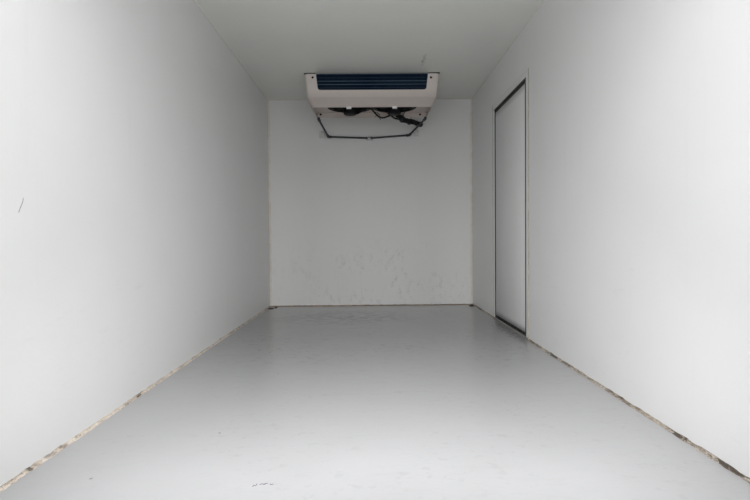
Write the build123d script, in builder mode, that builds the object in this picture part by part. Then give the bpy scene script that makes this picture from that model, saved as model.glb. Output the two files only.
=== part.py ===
from build123d import *
from math import atan2, degrees, hypot, radians, tan
import os

# The insulated load body of a refrigerated truck, off its chassis and standing on its two bearers.
# X points to the truck's right, Y to its front and Z up, in millimetres. The origin is the middle
# of the whole object, on the ground. The rear doors stand open, folded back along the side walls.

# Load space
inner_width = 2100
inner_length = 4200
inner_height = 2120

# Sandwich panels
side_wall_thickness = 80
front_wall_thickness = 90
roof_thickness = 90
floor_thickness = 110
panel_edge_radius = 20

# Underframe
bearer_height = 120
bearer_width = 50
bearer_wall = 6
bearer_spread = 750
bearer_end_inset = 40
cross_member_height = 80
cross_member_width = 40
cross_member_wall = 4
cross_member_count = 11
cross_member_inset = 12
bracket_length = 140
bracket_reach = 100
bracket_thickness = 10
bracket_hole_radius = 8.5
bracket_hole_pitch = 70
bracket_places = (0.12, 0.5, 0.88)

# Edge profiles
profile_thickness = 4
roof_rail_drop = 130
roof_rail_reach = 70
corner_post_reach = 70
side_rail_height = 60
side_rail_reach = 60
corner_cap_reach = 95
corner_cap_drop = 150
corner_cap_thickness = 7

# Rear frame
rear_frame_depth = 90
rear_opening_inset = 20
rear_opening_drop = 40

# Doors, with their seals, hinges and lock bars
leaf_thickness = 80
leaf_edge_radius = 5
leaf_gap = 14
leaf_stands_out = 6
rear_centre_gap = 28
seal_width = 28
seal_depth = 24
seal_lip_reach = 8
seal_lip_thickness = 6
knuckle_radius = 14
pin_radius = 8
pin_clearance = 0.4
strap_thickness = 6
strap_height = 60
strap_arm = 12
strap_near = 24
hinge_play = 1
bracket_knuckle_height = 24
hinge_plate = 6
bar_radius = 13.5
bar_stand_off = 25
bar_overrun = 56
cam_width = 36
cam_height = 34
keeper_gap = 10
keeper_thickness = 8
keeper_depth = 40
guide_width = 46
guide_height = 38
guide_depth = 43
lever_length = 260
lever_width = 26
lever_thickness = 8
lever_height = 48
rear_pin_side = 18
rear_pin_back = 50
rear_strap_reach = 290
rear_hinge_levels = (0.07, 0.36, 0.65, 0.93)
rear_bar_places = (150, 690)
rear_lever_level = 620

# Side door, in the right wall
side_door_from_front = 924
side_reveal_width = 855
side_reveal_height = 1748
side_reveal_sill = 14
side_free_gap = 20
side_frame_lining = 6
side_inner_flange = 50
side_inner_flange_thickness = 3
side_outer_flange = 56
side_pin_out = 30
side_pin_ahead = 26
side_strap_reach = 230
side_hinge_levels = (0.1, 0.5, 0.9)
side_bar_places = (120,)
side_lever_level = 700
drip_rail_height = 16
drip_rail_reach = 22

# Evaporator unit, under the ceiling
unit_from_front = 825
unit_shift = 18
unit_depth = 448
unit_hang = 8
unit_fold = 209
unit_bottom = 277
unit_top_width = 1166
unit_fold_width = 1124
unit_bottom_width = 1044
unit_bevel = 68
unit_corner_radius = 30
unit_skin = 4
window_top_width = 966
window_bottom_width = 934
window_bottom = 146
window_corner_radius = 24
hanger_width = 40
hanger_spread = 1080
coil_width = 1040
coil_depth = 70
coil_recess = 16
coil_top = 10
coil_bottom = 152
coil_tube_radius = 5
coil_tube_pitch = 25.4
coil_tube_rows = 5
fan_spread = 402
fan_from_rear = 258
fan_plate_recess = 46
fan_ring_radius = 176
fan_ring_wall = 4
fan_ring_height = 56
fan_tip_gap = 8
fan_hub_radius = 45
fan_hub_height = 34
fan_blade_count = 5
fan_blade_chord_root = 52
fan_blade_chord_tip = 92
fan_blade_pitch_root = 38
fan_blade_pitch_tip = 22
fan_blade_thickness = 4
motor_radius = 62
motor_hang = 22
motor_play = 6
guard_bar = 6
guard_overhang = 8
guard_hoop_pitch = 32

# Drain, refrigerant pipes and wiring behind the evaporator unit
drain_radius = 9.5
drain_stand_off = 24
drain_left_corner = (-428, 384)
drain_tee = (-8, 401)
drain_right_corner = (400, 373)
drain_spigot_inset = 16
drain_spigot_drop = 16
drain_boss_radius = 10
fitting_radius = 14
fitting_sleeve = 32
fitting_base = 26
liquid_pipe_radius = 8
suction_pipe_radius = 19
pipe_spread = 60
pipe_drop = 110
pipe_from_middle = 430
loom_radius = 21
loom_end_from_middle = 516
loom_end_drop = 270
lead_radius = 5
grommet_radius = 34
grommet_thickness = 8

# Condenser unit, outside on the front wall
condenser_depth = 320
condenser_width = 1200
condenser_height = 480
condenser_front_width = 1100
condenser_front_height = 400
condenser_straight = 230
condenser_below_roof = 130
condenser_corner_radius = 40
condenser_skin = 4
condenser_fan_spread = 540
condenser_fan_radius = 168
condenser_coil_back = 50
condenser_coil_depth = 60
condenser_coil_height = 392
condenser_motor_radius = 55
condenser_motor_length = 30
louvre_count = 9
louvre_width = 16
louvre_length = 170
louvre_pitch = 46

# Lamps and rubber
lamp_length = 110
lamp_height = 34
lamp_depth = 22
rear_lamp_from_side = 114
front_lamp_from_side = 134
side_lamps_behind_door = (300, 1000)
buffer_depth = 90
buffer_width = 130
buffer_height = 120
buffer_from_side = 434
buffer_radius = 12
stop_radius = 22
stop_from_edge = 130
stop_levels = (0.22, 0.8)
sealant_size = 12

# Places that follow from the sizes above
half_inner = inner_width / 2
half_outer = half_inner + side_wall_thickness
skin_half = half_outer + profile_thickness
floor_bottom = bearer_height + cross_member_height
floor_top = floor_bottom + floor_thickness
ceiling = floor_top + inner_height
roof_top = ceiling + roof_thickness
skin_top = roof_top + profile_thickness
body_length = rear_frame_depth + inner_length + front_wall_thickness
front_reach = condenser_depth + guard_bar
overall_length = buffer_depth + body_length + front_reach
rear_face = buffer_depth - overall_length / 2
frame_front = rear_face + rear_frame_depth
front_inner = frame_front + inner_length
front_outer = front_inner + front_wall_thickness

rear_opening_half = half_inner - rear_opening_inset
rear_opening_top = ceiling - rear_opening_drop
rear_leaf_width = rear_opening_half - leaf_gap - rear_centre_gap / 2
rear_leaf_bottom = floor_top + leaf_gap
rear_leaf_height = rear_opening_top - leaf_gap - rear_leaf_bottom
rear_pin_x = skin_half + rear_pin_side
rear_pin_y = rear_face - rear_pin_back
rear_face_offset = rear_pin_back - leaf_stands_out
rear_leaf_start = rear_pin_y + rear_pin_x - rear_opening_half + leaf_gap

side_reveal_front = front_inner - side_door_from_front
side_reveal_rear = side_reveal_front - side_reveal_width
side_reveal_bottom = floor_top + side_reveal_sill
side_reveal_top = side_reveal_bottom + side_reveal_height
side_leaf_rear = side_reveal_rear + side_free_gap
side_leaf_width = side_reveal_front - leaf_gap - side_leaf_rear
side_leaf_bottom = side_reveal_bottom + leaf_gap
side_leaf_height = side_reveal_top - leaf_gap - side_leaf_bottom
side_face_x = skin_half + leaf_stands_out
side_pin_x = side_face_x + side_pin_out
side_pin_y = side_reveal_front + side_pin_ahead

unit_rear = front_inner - unit_from_front
unit_front = unit_rear + unit_depth
unit_underside = ceiling - unit_bottom
fan_y = unit_rear + fan_from_rear
fan_places = [unit_shift + side * fan_spread / 2 for side in (-1, 1)]

condenser_top = roof_top - condenser_below_roof
condenser_middle = condenser_top - condenser_height / 2
condenser_front = front_outer + condenser_depth


def block(x_range, y_range, z_range, mode=Mode.ADD):
    """Adds a block between two corners to the part being built."""
    ranges = (x_range, y_range, z_range)
    middle = tuple((low + high) / 2 for low, high in ranges)
    with Locations(middle):
        Box(*(high - low for low, high in ranges), mode=mode)


def ends(middle, length):
    """The two ends of a length about its middle."""
    return (middle - length / 2, middle + length / 2)


def across(y):
    """A sketch plane across the body at y: local x is X, local y is Z, and it faces the rear."""
    return Plane.XZ.offset(-y)


def mirrored(builder):
    """The left-hand twin of a right-hand piece."""
    with BuildPart() as twin:
        mirror(builder.part, about=Plane.YZ)
    return twin


def rod(start, end, radius):
    """Adds a round rod from one point to another to the part being built."""
    way = Vector(*end) - Vector(*start)
    with BuildSketch(Plane(origin=start, z_dir=way)) as section:
        Circle(radius)
    extrude(section.sketch, amount=way.length)


def arc_radii(route):
    """For each corner of a route, the largest arc that its two runs leave room for."""
    points = [Vector(*point) for point in route]
    radii = []
    for before, corner, after in zip(points, points[1:], points[2:]):
        turn = (corner - before).get_angle(after - corner)
        shorter = min((corner - before).length, (after - corner).length)
        radii.append(0.45 * shorter / tan(radians(turn / 2)))
    return radii


def hose(route, radius):
    """A hose along a route of straight runs joined by tangent arcs."""
    radii = arc_radii(route)
    print("arc radii", [round(value) for value in radii])
    with BuildPart() as tube:
        with BuildLine() as path:
            FilletPolyline(*route, radius=radii)
        with BuildSketch(Plane(origin=route[0], z_dir=path.line % 0)):
            Circle(radius)
        sweep(path=path.line)
    return tube


# Panels

with BuildPart() as floor_panel:
    block((-half_inner, half_inner), (frame_front, front_inner), (floor_bottom, floor_top))

with BuildPart() as left_wall:
    block((-half_outer, -half_inner), (frame_front, front_inner), (floor_bottom, ceiling))

side_hole_y = (side_reveal_rear - side_frame_lining, side_reveal_front + side_frame_lining)
side_hole_z = (side_reveal_bottom - side_frame_lining, side_reveal_top + side_frame_lining)

with BuildPart() as right_wall:
    block((half_inner, half_outer), (frame_front, front_inner), (floor_bottom, ceiling))
    block((half_inner, half_outer), side_hole_y, side_hole_z, mode=Mode.SUBTRACT)

with BuildPart() as front_wall:
    block((-half_outer, half_outer), (front_inner, front_outer), (floor_bottom, ceiling))
    outer_uprights = front_wall.edges().filter_by(Axis.Z).group_by(Axis.Y)[-1]
    fillet(outer_uprights, panel_edge_radius)

with BuildPart() as roof_panel:
    block((-half_outer, half_outer), (frame_front, front_outer), (ceiling, roof_top))
    top_edges = roof_panel.edges().group_by(Axis.Z)[-1]
    rounded_edges = top_edges.sort_by(Axis.Y)[1:]
    front_uprights = roof_panel.edges().filter_by(Axis.Z).group_by(Axis.Y)[-1]
    fillet(rounded_edges + front_uprights, panel_edge_radius)

# Sealant beads where the walls meet the floor, broken at the side door's frame
door_frame_y = (side_reveal_rear - side_inner_flange, side_reveal_front + side_inner_flange)

with BuildPart() as floor_sealant:
    bead_front = front_inner - sealant_size
    runs = [
        (-1, frame_front, bead_front),
        (1, frame_front, door_frame_y[0]),
        (1, door_frame_y[1], bead_front),
    ]
    for side, start, end in runs:
        with BuildSketch(across(end)) as bead:
            with BuildLine():
                corner = (side * half_inner, floor_top)
                foot = (side * (half_inner - sealant_size), floor_top)
                head = (side * half_inner, floor_top + sealant_size)
                Line(corner, foot)
                Line(corner, head)
                RadiusArc(foot, head, side * 1.4 * sealant_size)
            make_face()
        extrude(amount=end - start)
    with BuildSketch(Plane.YZ.offset(-half_inner)) as front_bead:
        with BuildLine():
            foot = (front_inner - sealant_size, floor_top)
            head = (front_inner, floor_top + sealant_size)
            Line((front_inner, floor_top), foot)
            Line((front_inner, floor_top), head)
            RadiusArc(foot, head, 1.4 * sealant_size)
        make_face()
    extrude(amount=inner_width)

# Underframe

with BuildPart() as bearers:
    with BuildSketch(across(front_outer - bearer_end_inset)):
        for side in (-1, 1):
            middle = side * (bearer_spread - bearer_width) / 2
            hollow = middle - side * bearer_wall
            with Locations((middle, bearer_height / 2)):
                Rectangle(bearer_width, bearer_height)
            with Locations((hollow, bearer_height / 2)):
                Rectangle(bearer_width, bearer_height - 2 * bearer_wall, mode=Mode.SUBTRACT)
    extrude(amount=body_length - 2 * bearer_end_inset)

cross_half = half_inner - cross_member_inset
cross_first = frame_front + cross_member_width
cross_last = front_inner - cross_member_width
cross_pitch = (cross_last - cross_first) / (cross_member_count - 1)

with BuildPart() as cross_members:
    with BuildSketch(Plane.YZ.offset(-cross_half)):
        for number in range(cross_member_count):
            middle = cross_first + number * cross_pitch
            level = bearer_height + cross_member_height / 2
            hollow_height = cross_member_height - 2 * cross_member_wall
            with Locations((middle, level)):
                Rectangle(cross_member_width, cross_member_height)
            with Locations((middle + cross_member_wall, level)):
                Rectangle(cross_member_width, hollow_height, mode=Mode.SUBTRACT)
    extrude(amount=2 * cross_half)

bracket_ys = [frame_front + place * inner_length for place in bracket_places]
bracket_inner = bearer_spread / 2
bracket_hole_x = bracket_inner + 0.62 * bracket_reach

with BuildPart() as mounting_brackets:
    for bracket_y in bracket_ys:
        for side in (-1, 1):
            bracket_span = ends(bracket_y, bracket_length)
            foot_x = sorted((side * bracket_inner, side * (bracket_inner + bracket_reach)))
            web_x = sorted((side * bracket_inner, side * (bracket_inner + bracket_thickness)))
            block(foot_x, bracket_span, (0, bracket_thickness))
            block(web_x, bracket_span, (0, bearer_height))
            with BuildSketch(across(bracket_y + bracket_thickness / 2)):
                with BuildLine():
                    heel = (side * bracket_inner, bracket_thickness / 2)
                    toe = (side * (bracket_inner + 0.9 * bracket_reach), bracket_thickness / 2)
                    head = (side * bracket_inner, 0.9 * bearer_height)
                    Polyline(heel, toe, head, close=True)
                make_face()
            extrude(amount=bracket_thickness)
            for hole_y in ends(bracket_y, bracket_hole_pitch):
                with Locations((side * bracket_hole_x, hole_y, bracket_thickness / 2)):
                    Cylinder(bracket_hole_radius, 3 * bracket_thickness, mode=Mode.SUBTRACT)

# Edge profiles outside the panels

rail_end = front_outer - corner_cap_reach

with BuildPart() as roof_rails:
    trace_radius = panel_edge_radius + profile_thickness / 2
    trace_half = half_outer + profile_thickness / 2
    trace_top = roof_top + profile_thickness / 2
    for side in (-1, 1):
        with BuildSketch(across(rail_end)):
            with BuildLine():
                FilletPolyline(
                    (side * trace_half, skin_top - roof_rail_drop),
                    (side * trace_half, trace_top),
                    (side * (skin_half - roof_rail_reach), trace_top),
                    radius=trace_radius,
                )
            trace(line_width=profile_thickness)
        extrude(amount=rail_end - frame_front)
    with BuildSketch(Plane.YZ.offset(corner_cap_reach - half_outer)):
        with BuildLine():
            trace_front = front_outer + profile_thickness / 2
            FilletPolyline(
                (trace_front, skin_top - roof_rail_drop),
                (trace_front, trace_top),
                (front_outer + profile_thickness - roof_rail_reach, trace_top),
                radius=trace_radius,
            )
        trace(line_width=profile_thickness)
    extrude(amount=2 * (half_outer - corner_cap_reach))

with BuildPart() as front_corner_posts:
    for side in (-1, 1):
        with BuildSketch(Plane.XY.offset(floor_bottom)):
            with BuildLine():
                FilletPolyline(
                    (side * trace_half, front_outer + profile_thickness - corner_post_reach),
                    (side * trace_half, trace_front),
                    (side * (skin_half - corner_post_reach), trace_front),
                    radius=trace_radius,
                )
            trace(line_width=profile_thickness)
    extrude(amount=roof_top - corner_cap_drop - floor_bottom)

with BuildPart() as corner_core:
    block(
        (half_outer - 2 * corner_cap_reach, half_outer),
        (front_outer - 2 * corner_cap_reach, front_outer),
        (roof_top - 2 * corner_cap_drop, roof_top),
    )
    core_edges = corner_core.edges()
    core_outer = (
        core_edges.filter_by(Axis.Z).sort_by(Axis.X)[-2:].sort_by(Axis.Y)[-1:]
        + core_edges.filter_by(Axis.Y).sort_by(Axis.X)[-2:].sort_by(Axis.Z)[-1:]
        + core_edges.filter_by(Axis.X).sort_by(Axis.Y)[-2:].sort_by(Axis.Z)[-1:]
    )
    fillet(core_outer, panel_edge_radius)

with BuildPart() as roof_corner_caps:
    block(
        (half_outer - corner_cap_reach, half_outer + corner_cap_thickness),
        (front_outer - corner_cap_reach, front_outer + corner_cap_thickness),
        (roof_top - corner_cap_drop, roof_top + corner_cap_thickness),
    )
    cap_edges = roof_corner_caps.edges()
    cap_outer = (
        cap_edges.filter_by(Axis.Z).sort_by(Axis.X)[-2:].sort_by(Axis.Y)[-1:]
        + cap_edges.filter_by(Axis.Y).sort_by(Axis.X)[-2:].sort_by(Axis.Z)[-1:]
        + cap_edges.filter_by(Axis.X).sort_by(Axis.Y)[-2:].sort_by(Axis.Z)[-1:]
    )
    fillet(cap_outer, panel_edge_radius + corner_cap_thickness)
    add(corner_core.part, mode=Mode.SUBTRACT)
    mirror(about=Plane.YZ)

with BuildPart() as side_rails:
    rail_front = front_outer + profile_thickness - corner_post_reach
    rail_top = floor_bottom + side_rail_height
    rail_z = (floor_bottom - profile_thickness, rail_top)
    for side in (-1, 1):
        upright = sorted((side * half_outer, side * skin_half))
        under = sorted((side * (skin_half - side_rail_reach), side * skin_half))
        block(upright, (frame_front, rail_front), rail_z)
        block(under, (frame_front, rail_front), (floor_bottom - profile_thickness, floor_bottom))

# Rear frame, with the keepers that take the lock bars' cams


def keeper_middles(leaf_middle_edge, places):
    """Where the lock bars of a closed leaf stand, measured from the leaf's free edge."""
    return [leaf_middle_edge + place for place in places]


keeper_reach = cam_width / 2 + keeper_gap + keeper_thickness
rear_keeper_places = keeper_middles(rear_centre_gap / 2, rear_bar_places)
rear_keeper_bottom = rear_leaf_bottom - bar_overrun
rear_keeper_top = rear_leaf_bottom + rear_leaf_height + bar_overrun - cam_height

with BuildPart() as rear_frame:
    with BuildSketch(across(frame_front)):
        frame_height = skin_top - bearer_height
        with Locations((0, bearer_height + frame_height / 2)):
            Rectangle(2 * skin_half, frame_height)
        opening_height = rear_opening_top - floor_top
        with Locations((0, floor_top + opening_height / 2)):
            Rectangle(2 * rear_opening_half, opening_height, mode=Mode.SUBTRACT)
    extrude(amount=rear_frame_depth)
    top_corners = rear_frame.edges().filter_by(Axis.Y).group_by(Axis.Z)[-1]
    fillet(top_corners, panel_edge_radius + profile_thickness)
    for place in rear_keeper_places:
        for side in (-1, 1):
            for level in (rear_keeper_bottom, rear_keeper_top):
                for cheek in (-1, 1):
                    cheek_middle = side * place + cheek * (keeper_reach - keeper_thickness / 2)
                    block(
                        ends(cheek_middle, keeper_thickness),
                        (rear_face - keeper_depth, rear_face),
                        (level - keeper_gap / 2, level + cam_height + keeper_gap / 2),
                    )

# Side door's frame, lining the hole in the right wall

with BuildPart() as side_door_frame:
    lining_x = (half_inner - side_inner_flange_thickness, half_outer + profile_thickness)
    block(lining_x, side_hole_y, side_hole_z)
    block(
        (half_inner - side_inner_flange_thickness, half_inner),
        door_frame_y,
        (floor_top, side_reveal_top + side_inner_flange),
    )
    outer_flange_y = (side_reveal_rear - side_outer_flange, side_reveal_front + side_outer_flange)
    outer_flange_z = (side_reveal_bottom - side_outer_flange, side_reveal_top + side_outer_flange)
    block((half_outer, skin_half), outer_flange_y, outer_flange_z)
    drip_top = outer_flange_z[1]
    block(
        (half_outer, skin_half + drip_rail_reach),
        outer_flange_y,
        (drip_top, drip_top + profile_thickness),
    )
    block(
        (skin_half + drip_rail_reach - profile_thickness, skin_half + drip_rail_reach),
        outer_flange_y,
        (drip_top, drip_top + drip_rail_height),
    )
    block(
        (0, side_pin_x),
        (side_reveal_rear, side_reveal_front),
        (side_reveal_bottom, side_reveal_top),
        mode=Mode.SUBTRACT,
    )
    for keeper_middle in keeper_middles(side_leaf_rear, side_bar_places):
        side_keeper_top = side_leaf_bottom + side_leaf_height + bar_overrun - cam_height
        for level in (side_leaf_bottom - bar_overrun, side_keeper_top):
            for cheek in (-1, 1):
                cheek_middle = keeper_middle + cheek * (keeper_reach - keeper_thickness / 2)
                block(
                    (skin_half, skin_half + keeper_depth),
                    ends(cheek_middle, keeper_thickness),
                    (level, level + cam_height),
                )

# Door leaves and what they carry. A face plane lies on a leaf's outer face with its origin at the
# bottom of the free edge: local x runs towards the hinges, local y up and local z outwards.

right_leaf_face = Plane(
    origin=(rear_pin_x + rear_face_offset, rear_leaf_start + rear_leaf_width, rear_leaf_bottom),
    x_dir=(0, -1, 0),
    z_dir=(-1, 0, 0),
)
side_leaf_face = Plane(
    origin=(side_face_x, side_leaf_rear, side_leaf_bottom),
    x_dir=(0, 1, 0),
    z_dir=(1, 0, 0),
)


def ring(plane, middle, outer, inner, depth, mode=Mode.ADD):
    """Adds a rectangular ring, extruded outwards from a plane, to the part being built."""
    with BuildSketch(plane) as band:
        with Locations(middle):
            Rectangle(*outer)
            Rectangle(*inner, mode=Mode.SUBTRACT)
    extrude(band.sketch, amount=depth, mode=mode)


def door_leaf(face, width, height):
    """A foam-cored leaf, with a rebate round its inner side for the seal."""
    inner_size = (width - 2 * seal_width, height - 2 * seal_width)
    with BuildPart(face) as leaf:
        with Locations((width / 2, height / 2, -leaf_thickness / 2)):
            Box(width, height, leaf_thickness)
        outer_face = leaf.faces().sort_by(Axis(face.origin, face.z_dir))[-1]
        fillet(outer_face.edges(), leaf_edge_radius)
        middle = (width / 2, height / 2)
        inner_plane = face.offset(-leaf_thickness)
        ring(inner_plane, middle, (width, height), inner_size, seal_depth, Mode.SUBTRACT)
    return leaf


def door_seal(face, width, height):
    """A rubber seal that fills the leaf's rebate, with two lips that stand out past its edge."""
    middle = (width / 2, height / 2)
    whole = (width, height)
    inner_size = (width - 2 * seal_width, height - 2 * seal_width)
    lip_size = (width + 2 * seal_lip_reach, height + 2 * seal_lip_reach)
    inner_plane = face.offset(-leaf_thickness)
    with BuildPart() as seal:
        ring(inner_plane, middle, whole, inner_size, seal_depth)
        for step in (0, seal_depth - seal_lip_thickness):
            ring(inner_plane.offset(step), middle, lip_size, whole, seal_lip_thickness)
    return seal


def hinge_straps(pin, face_offset, levels, reach):
    """Straps from a leaf's outer face to their knuckles. On the pin's plane, local x runs from
    the pin along the leaf, and the leaf's face lies face_offset to local -y."""
    end = (strap_near, strap_arm / 2 - face_offset)
    strip_middle = ((strap_near + reach) / 2, strap_thickness / 2 - face_offset)
    arm_angle = degrees(atan2(end[1], end[0]))
    with BuildPart() as straps:
        for level in levels:
            with BuildSketch(pin.offset(level - strap_height / 2)) as plan:
                Circle(knuckle_radius)
                with Locations(strip_middle):
                    Rectangle(reach - strap_near, strap_thickness)
                with Locations((end[0] / 2, end[1] / 2)):
                    SlotCenterToCenter(hypot(*end), strap_arm, rotation=arm_angle)
                Circle(pin_radius + pin_clearance, mode=Mode.SUBTRACT)
            extrude(plan.sketch, amount=strap_height)
    return straps


def lock_gear(face, height, bar_places, lever_level):
    """Upright lock bars in their guides, with a cam at each end and a lever."""
    guide_levels = [share * height for share in (0.05, 0.42, 0.68, 0.95)]
    with BuildPart(face) as gear:
        for place in bar_places:
            with Locations((place, height / 2, bar_stand_off)):
                Cylinder(bar_radius, height + 2 * bar_overrun, rotation=(90, 0, 0))
            cam_levels = (cam_height / 2 - bar_overrun, height + bar_overrun - cam_height / 2)
            with Locations(*[(place, level, bar_stand_off / 2) for level in cam_levels]):
                Box(cam_width, cam_height, bar_stand_off)
            with Locations(*[(place, level, guide_depth / 2) for level in guide_levels]):
                Box(guide_width, guide_height, guide_depth)
            with Locations((place, lever_level, lever_height / 2)):
                Box(guide_width, 2 * lever_width, lever_height)
            lever_middle = place + lever_length / 2
            with Locations((lever_middle, lever_level, lever_height - lever_thickness / 2)):
                Box(lever_length, lever_width, lever_thickness)
            with Locations((place + 0.8 * lever_length, lever_level, lever_height / 2)):
                Box(lever_width, 2.2 * lever_width, lever_height)
    return gear


rear_levels = [rear_leaf_bottom + share * rear_leaf_height for share in rear_hinge_levels]
side_levels = [side_leaf_bottom + share * side_leaf_height for share in side_hinge_levels]
right_pin = Plane(origin=(rear_pin_x, rear_pin_y, 0), x_dir=(0, 1, 0), z_dir=(0, 0, 1))
side_pin = Plane(origin=(side_pin_x, side_pin_y, 0), x_dir=(0, -1, 0), z_dir=(0, 0, 1))

rear_door_right_leaf = door_leaf(right_leaf_face, rear_leaf_width, rear_leaf_height)
rear_door_right_seal = door_seal(right_leaf_face, rear_leaf_width, rear_leaf_height)
rear_door_right_straps = hinge_straps(right_pin, rear_face_offset, rear_levels, rear_strap_reach)
rear_door_right_lock = lock_gear(
    right_leaf_face, rear_leaf_height, rear_bar_places, rear_lever_level
)
rear_door_left_leaf = mirrored(rear_door_right_leaf)
rear_door_left_seal = mirrored(rear_door_right_seal)
rear_door_left_straps = mirrored(rear_door_right_straps)
rear_door_left_lock = mirrored(rear_door_right_lock)

side_door_leaf = door_leaf(side_leaf_face, side_leaf_width, side_leaf_height)
side_door_seal = door_seal(side_leaf_face, side_leaf_width, side_leaf_height)
side_door_straps = hinge_straps(side_pin, side_pin_out, side_levels, side_strap_reach)
side_door_lock = lock_gear(side_leaf_face, side_leaf_height, side_bar_places, side_lever_level)

# Fixed hinge halves: a plate on the frame, two knuckles and the pin through the strap's knuckle

hinge_height = strap_height + 2 * (hinge_play + bracket_knuckle_height)
strap_zone = strap_height + 2 * hinge_play

with BuildPart() as rear_hinge_halves:
    plate_far = rear_face + rear_frame_depth
    for level in rear_levels:
        base = level - hinge_height / 2
        with BuildSketch(Plane.XY.offset(base)):
            with BuildLine():
                Polyline(
                    (skin_half, plate_far),
                    (skin_half, rear_face),
                    (rear_pin_x - knuckle_radius, rear_pin_y),
                    (rear_pin_x + knuckle_radius, rear_pin_y),
                    (skin_half + hinge_plate, rear_face + hinge_plate),
                    (skin_half + hinge_plate, plate_far),
                    close=True,
                )
            make_face()
            with Locations((rear_pin_x, rear_pin_y)):
                Circle(knuckle_radius)
        extrude(amount=hinge_height)
        block(
            (skin_half, rear_pin_x + 2 * knuckle_radius),
            (rear_pin_y - 2 * knuckle_radius, rear_face),
            ends(level, strap_zone),
            mode=Mode.SUBTRACT,
        )
        with Locations((rear_pin_x, rear_pin_y, level)):
            Cylinder(pin_radius, hinge_height)
    mirror(about=Plane.YZ)

with BuildPart() as hinge_brackets:
    add(rear_hinge_halves.part)
    plate_y = (side_pin_y, side_reveal_front + side_outer_flange)
    for level in side_levels:
        base = level - hinge_height / 2
        with BuildSketch(Plane.XY.offset(base)) as side_plan:
            with BuildLine():
                Polyline(
                    (skin_half, plate_y[1]),
                    (skin_half, plate_y[0]),
                    (side_pin_x, side_pin_y - knuckle_radius),
                    (side_pin_x, side_pin_y + knuckle_radius),
                    (skin_half + hinge_plate, plate_y[1]),
                    close=True,
                )
            make_face()
            with Locations((side_pin_x, side_pin_y)):
                Circle(knuckle_radius)
        extrude(side_plan.sketch, amount=hinge_height)
        block(
            (skin_half + hinge_plate, side_pin_x + 2 * knuckle_radius),
            ends(side_pin_y, 5 * knuckle_radius),
            ends(level, strap_zone),
            mode=Mode.SUBTRACT,
        )
        with Locations((side_pin_x, side_pin_y, level)):
            Cylinder(pin_radius, hinge_height)

# Evaporator unit


def unit_form(inset, mode):
    """Adds or cuts the unit's tapered form, its walls moved in by an inset."""
    sections = []
    steps = [
        (unit_hang, unit_top_width, 0),
        (unit_fold, unit_fold_width, 0),
        (unit_bottom, unit_bottom_width, unit_bevel),
    ]
    for drop, width, bevel in steps:
        depth = unit_depth - bevel
        middle = unit_rear + bevel + depth / 2
        with BuildSketch(Plane.XY.offset(ceiling - drop)) as section:
            with Locations((unit_shift, middle)):
                RectangleRounded(width - 2 * inset, depth - 2 * inset, unit_corner_radius - inset)
        sections.append(section.sketch)
    loft(sections, ruled=True, mode=mode)


fan_plate_level = unit_underside + fan_plate_recess
ring_middle = fan_plate_level + fan_ring_height / 2
spigot_y = unit_front - drain_spigot_inset
spigot_reach = unit_bottom_width / 2 - drain_spigot_inset

# The plate that closes the housing's underside, set up inside it, with a ring round each fan
with BuildPart() as fan_plate:
    unit_form(unit_skin, Mode.ADD)
    block(
        ends(unit_shift, unit_top_width),
        (unit_rear, unit_front),
        (fan_plate_level, fan_plate_level + unit_skin),
        mode=Mode.INTERSECT,
    )
    with Locations(*[(fan_x, fan_y, ring_middle) for fan_x in fan_places]):
        Cylinder(fan_ring_radius + fan_ring_wall, fan_ring_height)
        Cylinder(fan_ring_radius, 1.2 * fan_ring_height, mode=Mode.SUBTRACT)
    boss_middle = (unit_underside + fan_plate_level) / 2
    with Locations(*[(x, spigot_y, boss_middle) for x in ends(unit_shift, 2 * spigot_reach)]):
        Cylinder(drain_boss_radius, fan_plate_recess)

with BuildPart() as evaporator_housing:
    unit_form(0, Mode.ADD)
    unit_form(unit_skin, Mode.SUBTRACT)
    add(fan_plate.part)
    with BuildSketch(across(unit_rear + unit_corner_radius)):
        with BuildLine():
            window_low = ceiling - window_bottom
            FilletPolyline(
                (unit_shift - window_top_width / 2, ceiling),
                (unit_shift - window_bottom_width / 2, window_low),
                (unit_shift + window_bottom_width / 2, window_low),
                (unit_shift + window_top_width / 2, ceiling),
                radius=window_corner_radius,
            )
            Line(
                (unit_shift + window_top_width / 2, ceiling),
                (unit_shift - window_top_width / 2, ceiling),
            )
        make_face()
    extrude(amount=2 * unit_corner_radius, mode=Mode.SUBTRACT)

with BuildPart() as evaporator_hangers:
    for side in (-1, 1):
        hanger_middle = unit_shift + side * hanger_spread / 2
        block(
            ends(hanger_middle, hanger_width),
            (unit_rear, unit_front),
            (ceiling - unit_hang, ceiling),
        )

with BuildPart() as evaporator_coil:
    coil_rear = unit_rear + coil_recess
    coil_z = (ceiling - coil_bottom, ceiling - coil_top)
    block(ends(unit_shift, coil_width), (coil_rear, coil_rear + coil_depth), coil_z)
    for row in range(coil_tube_rows):
        tube_z = coil_z[1] - coil_tube_pitch * (row + 0.7)
        with Locations((unit_shift, coil_rear, tube_z)):
            Cylinder(coil_tube_radius, coil_width, rotation=(0, 90, 0))


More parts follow.
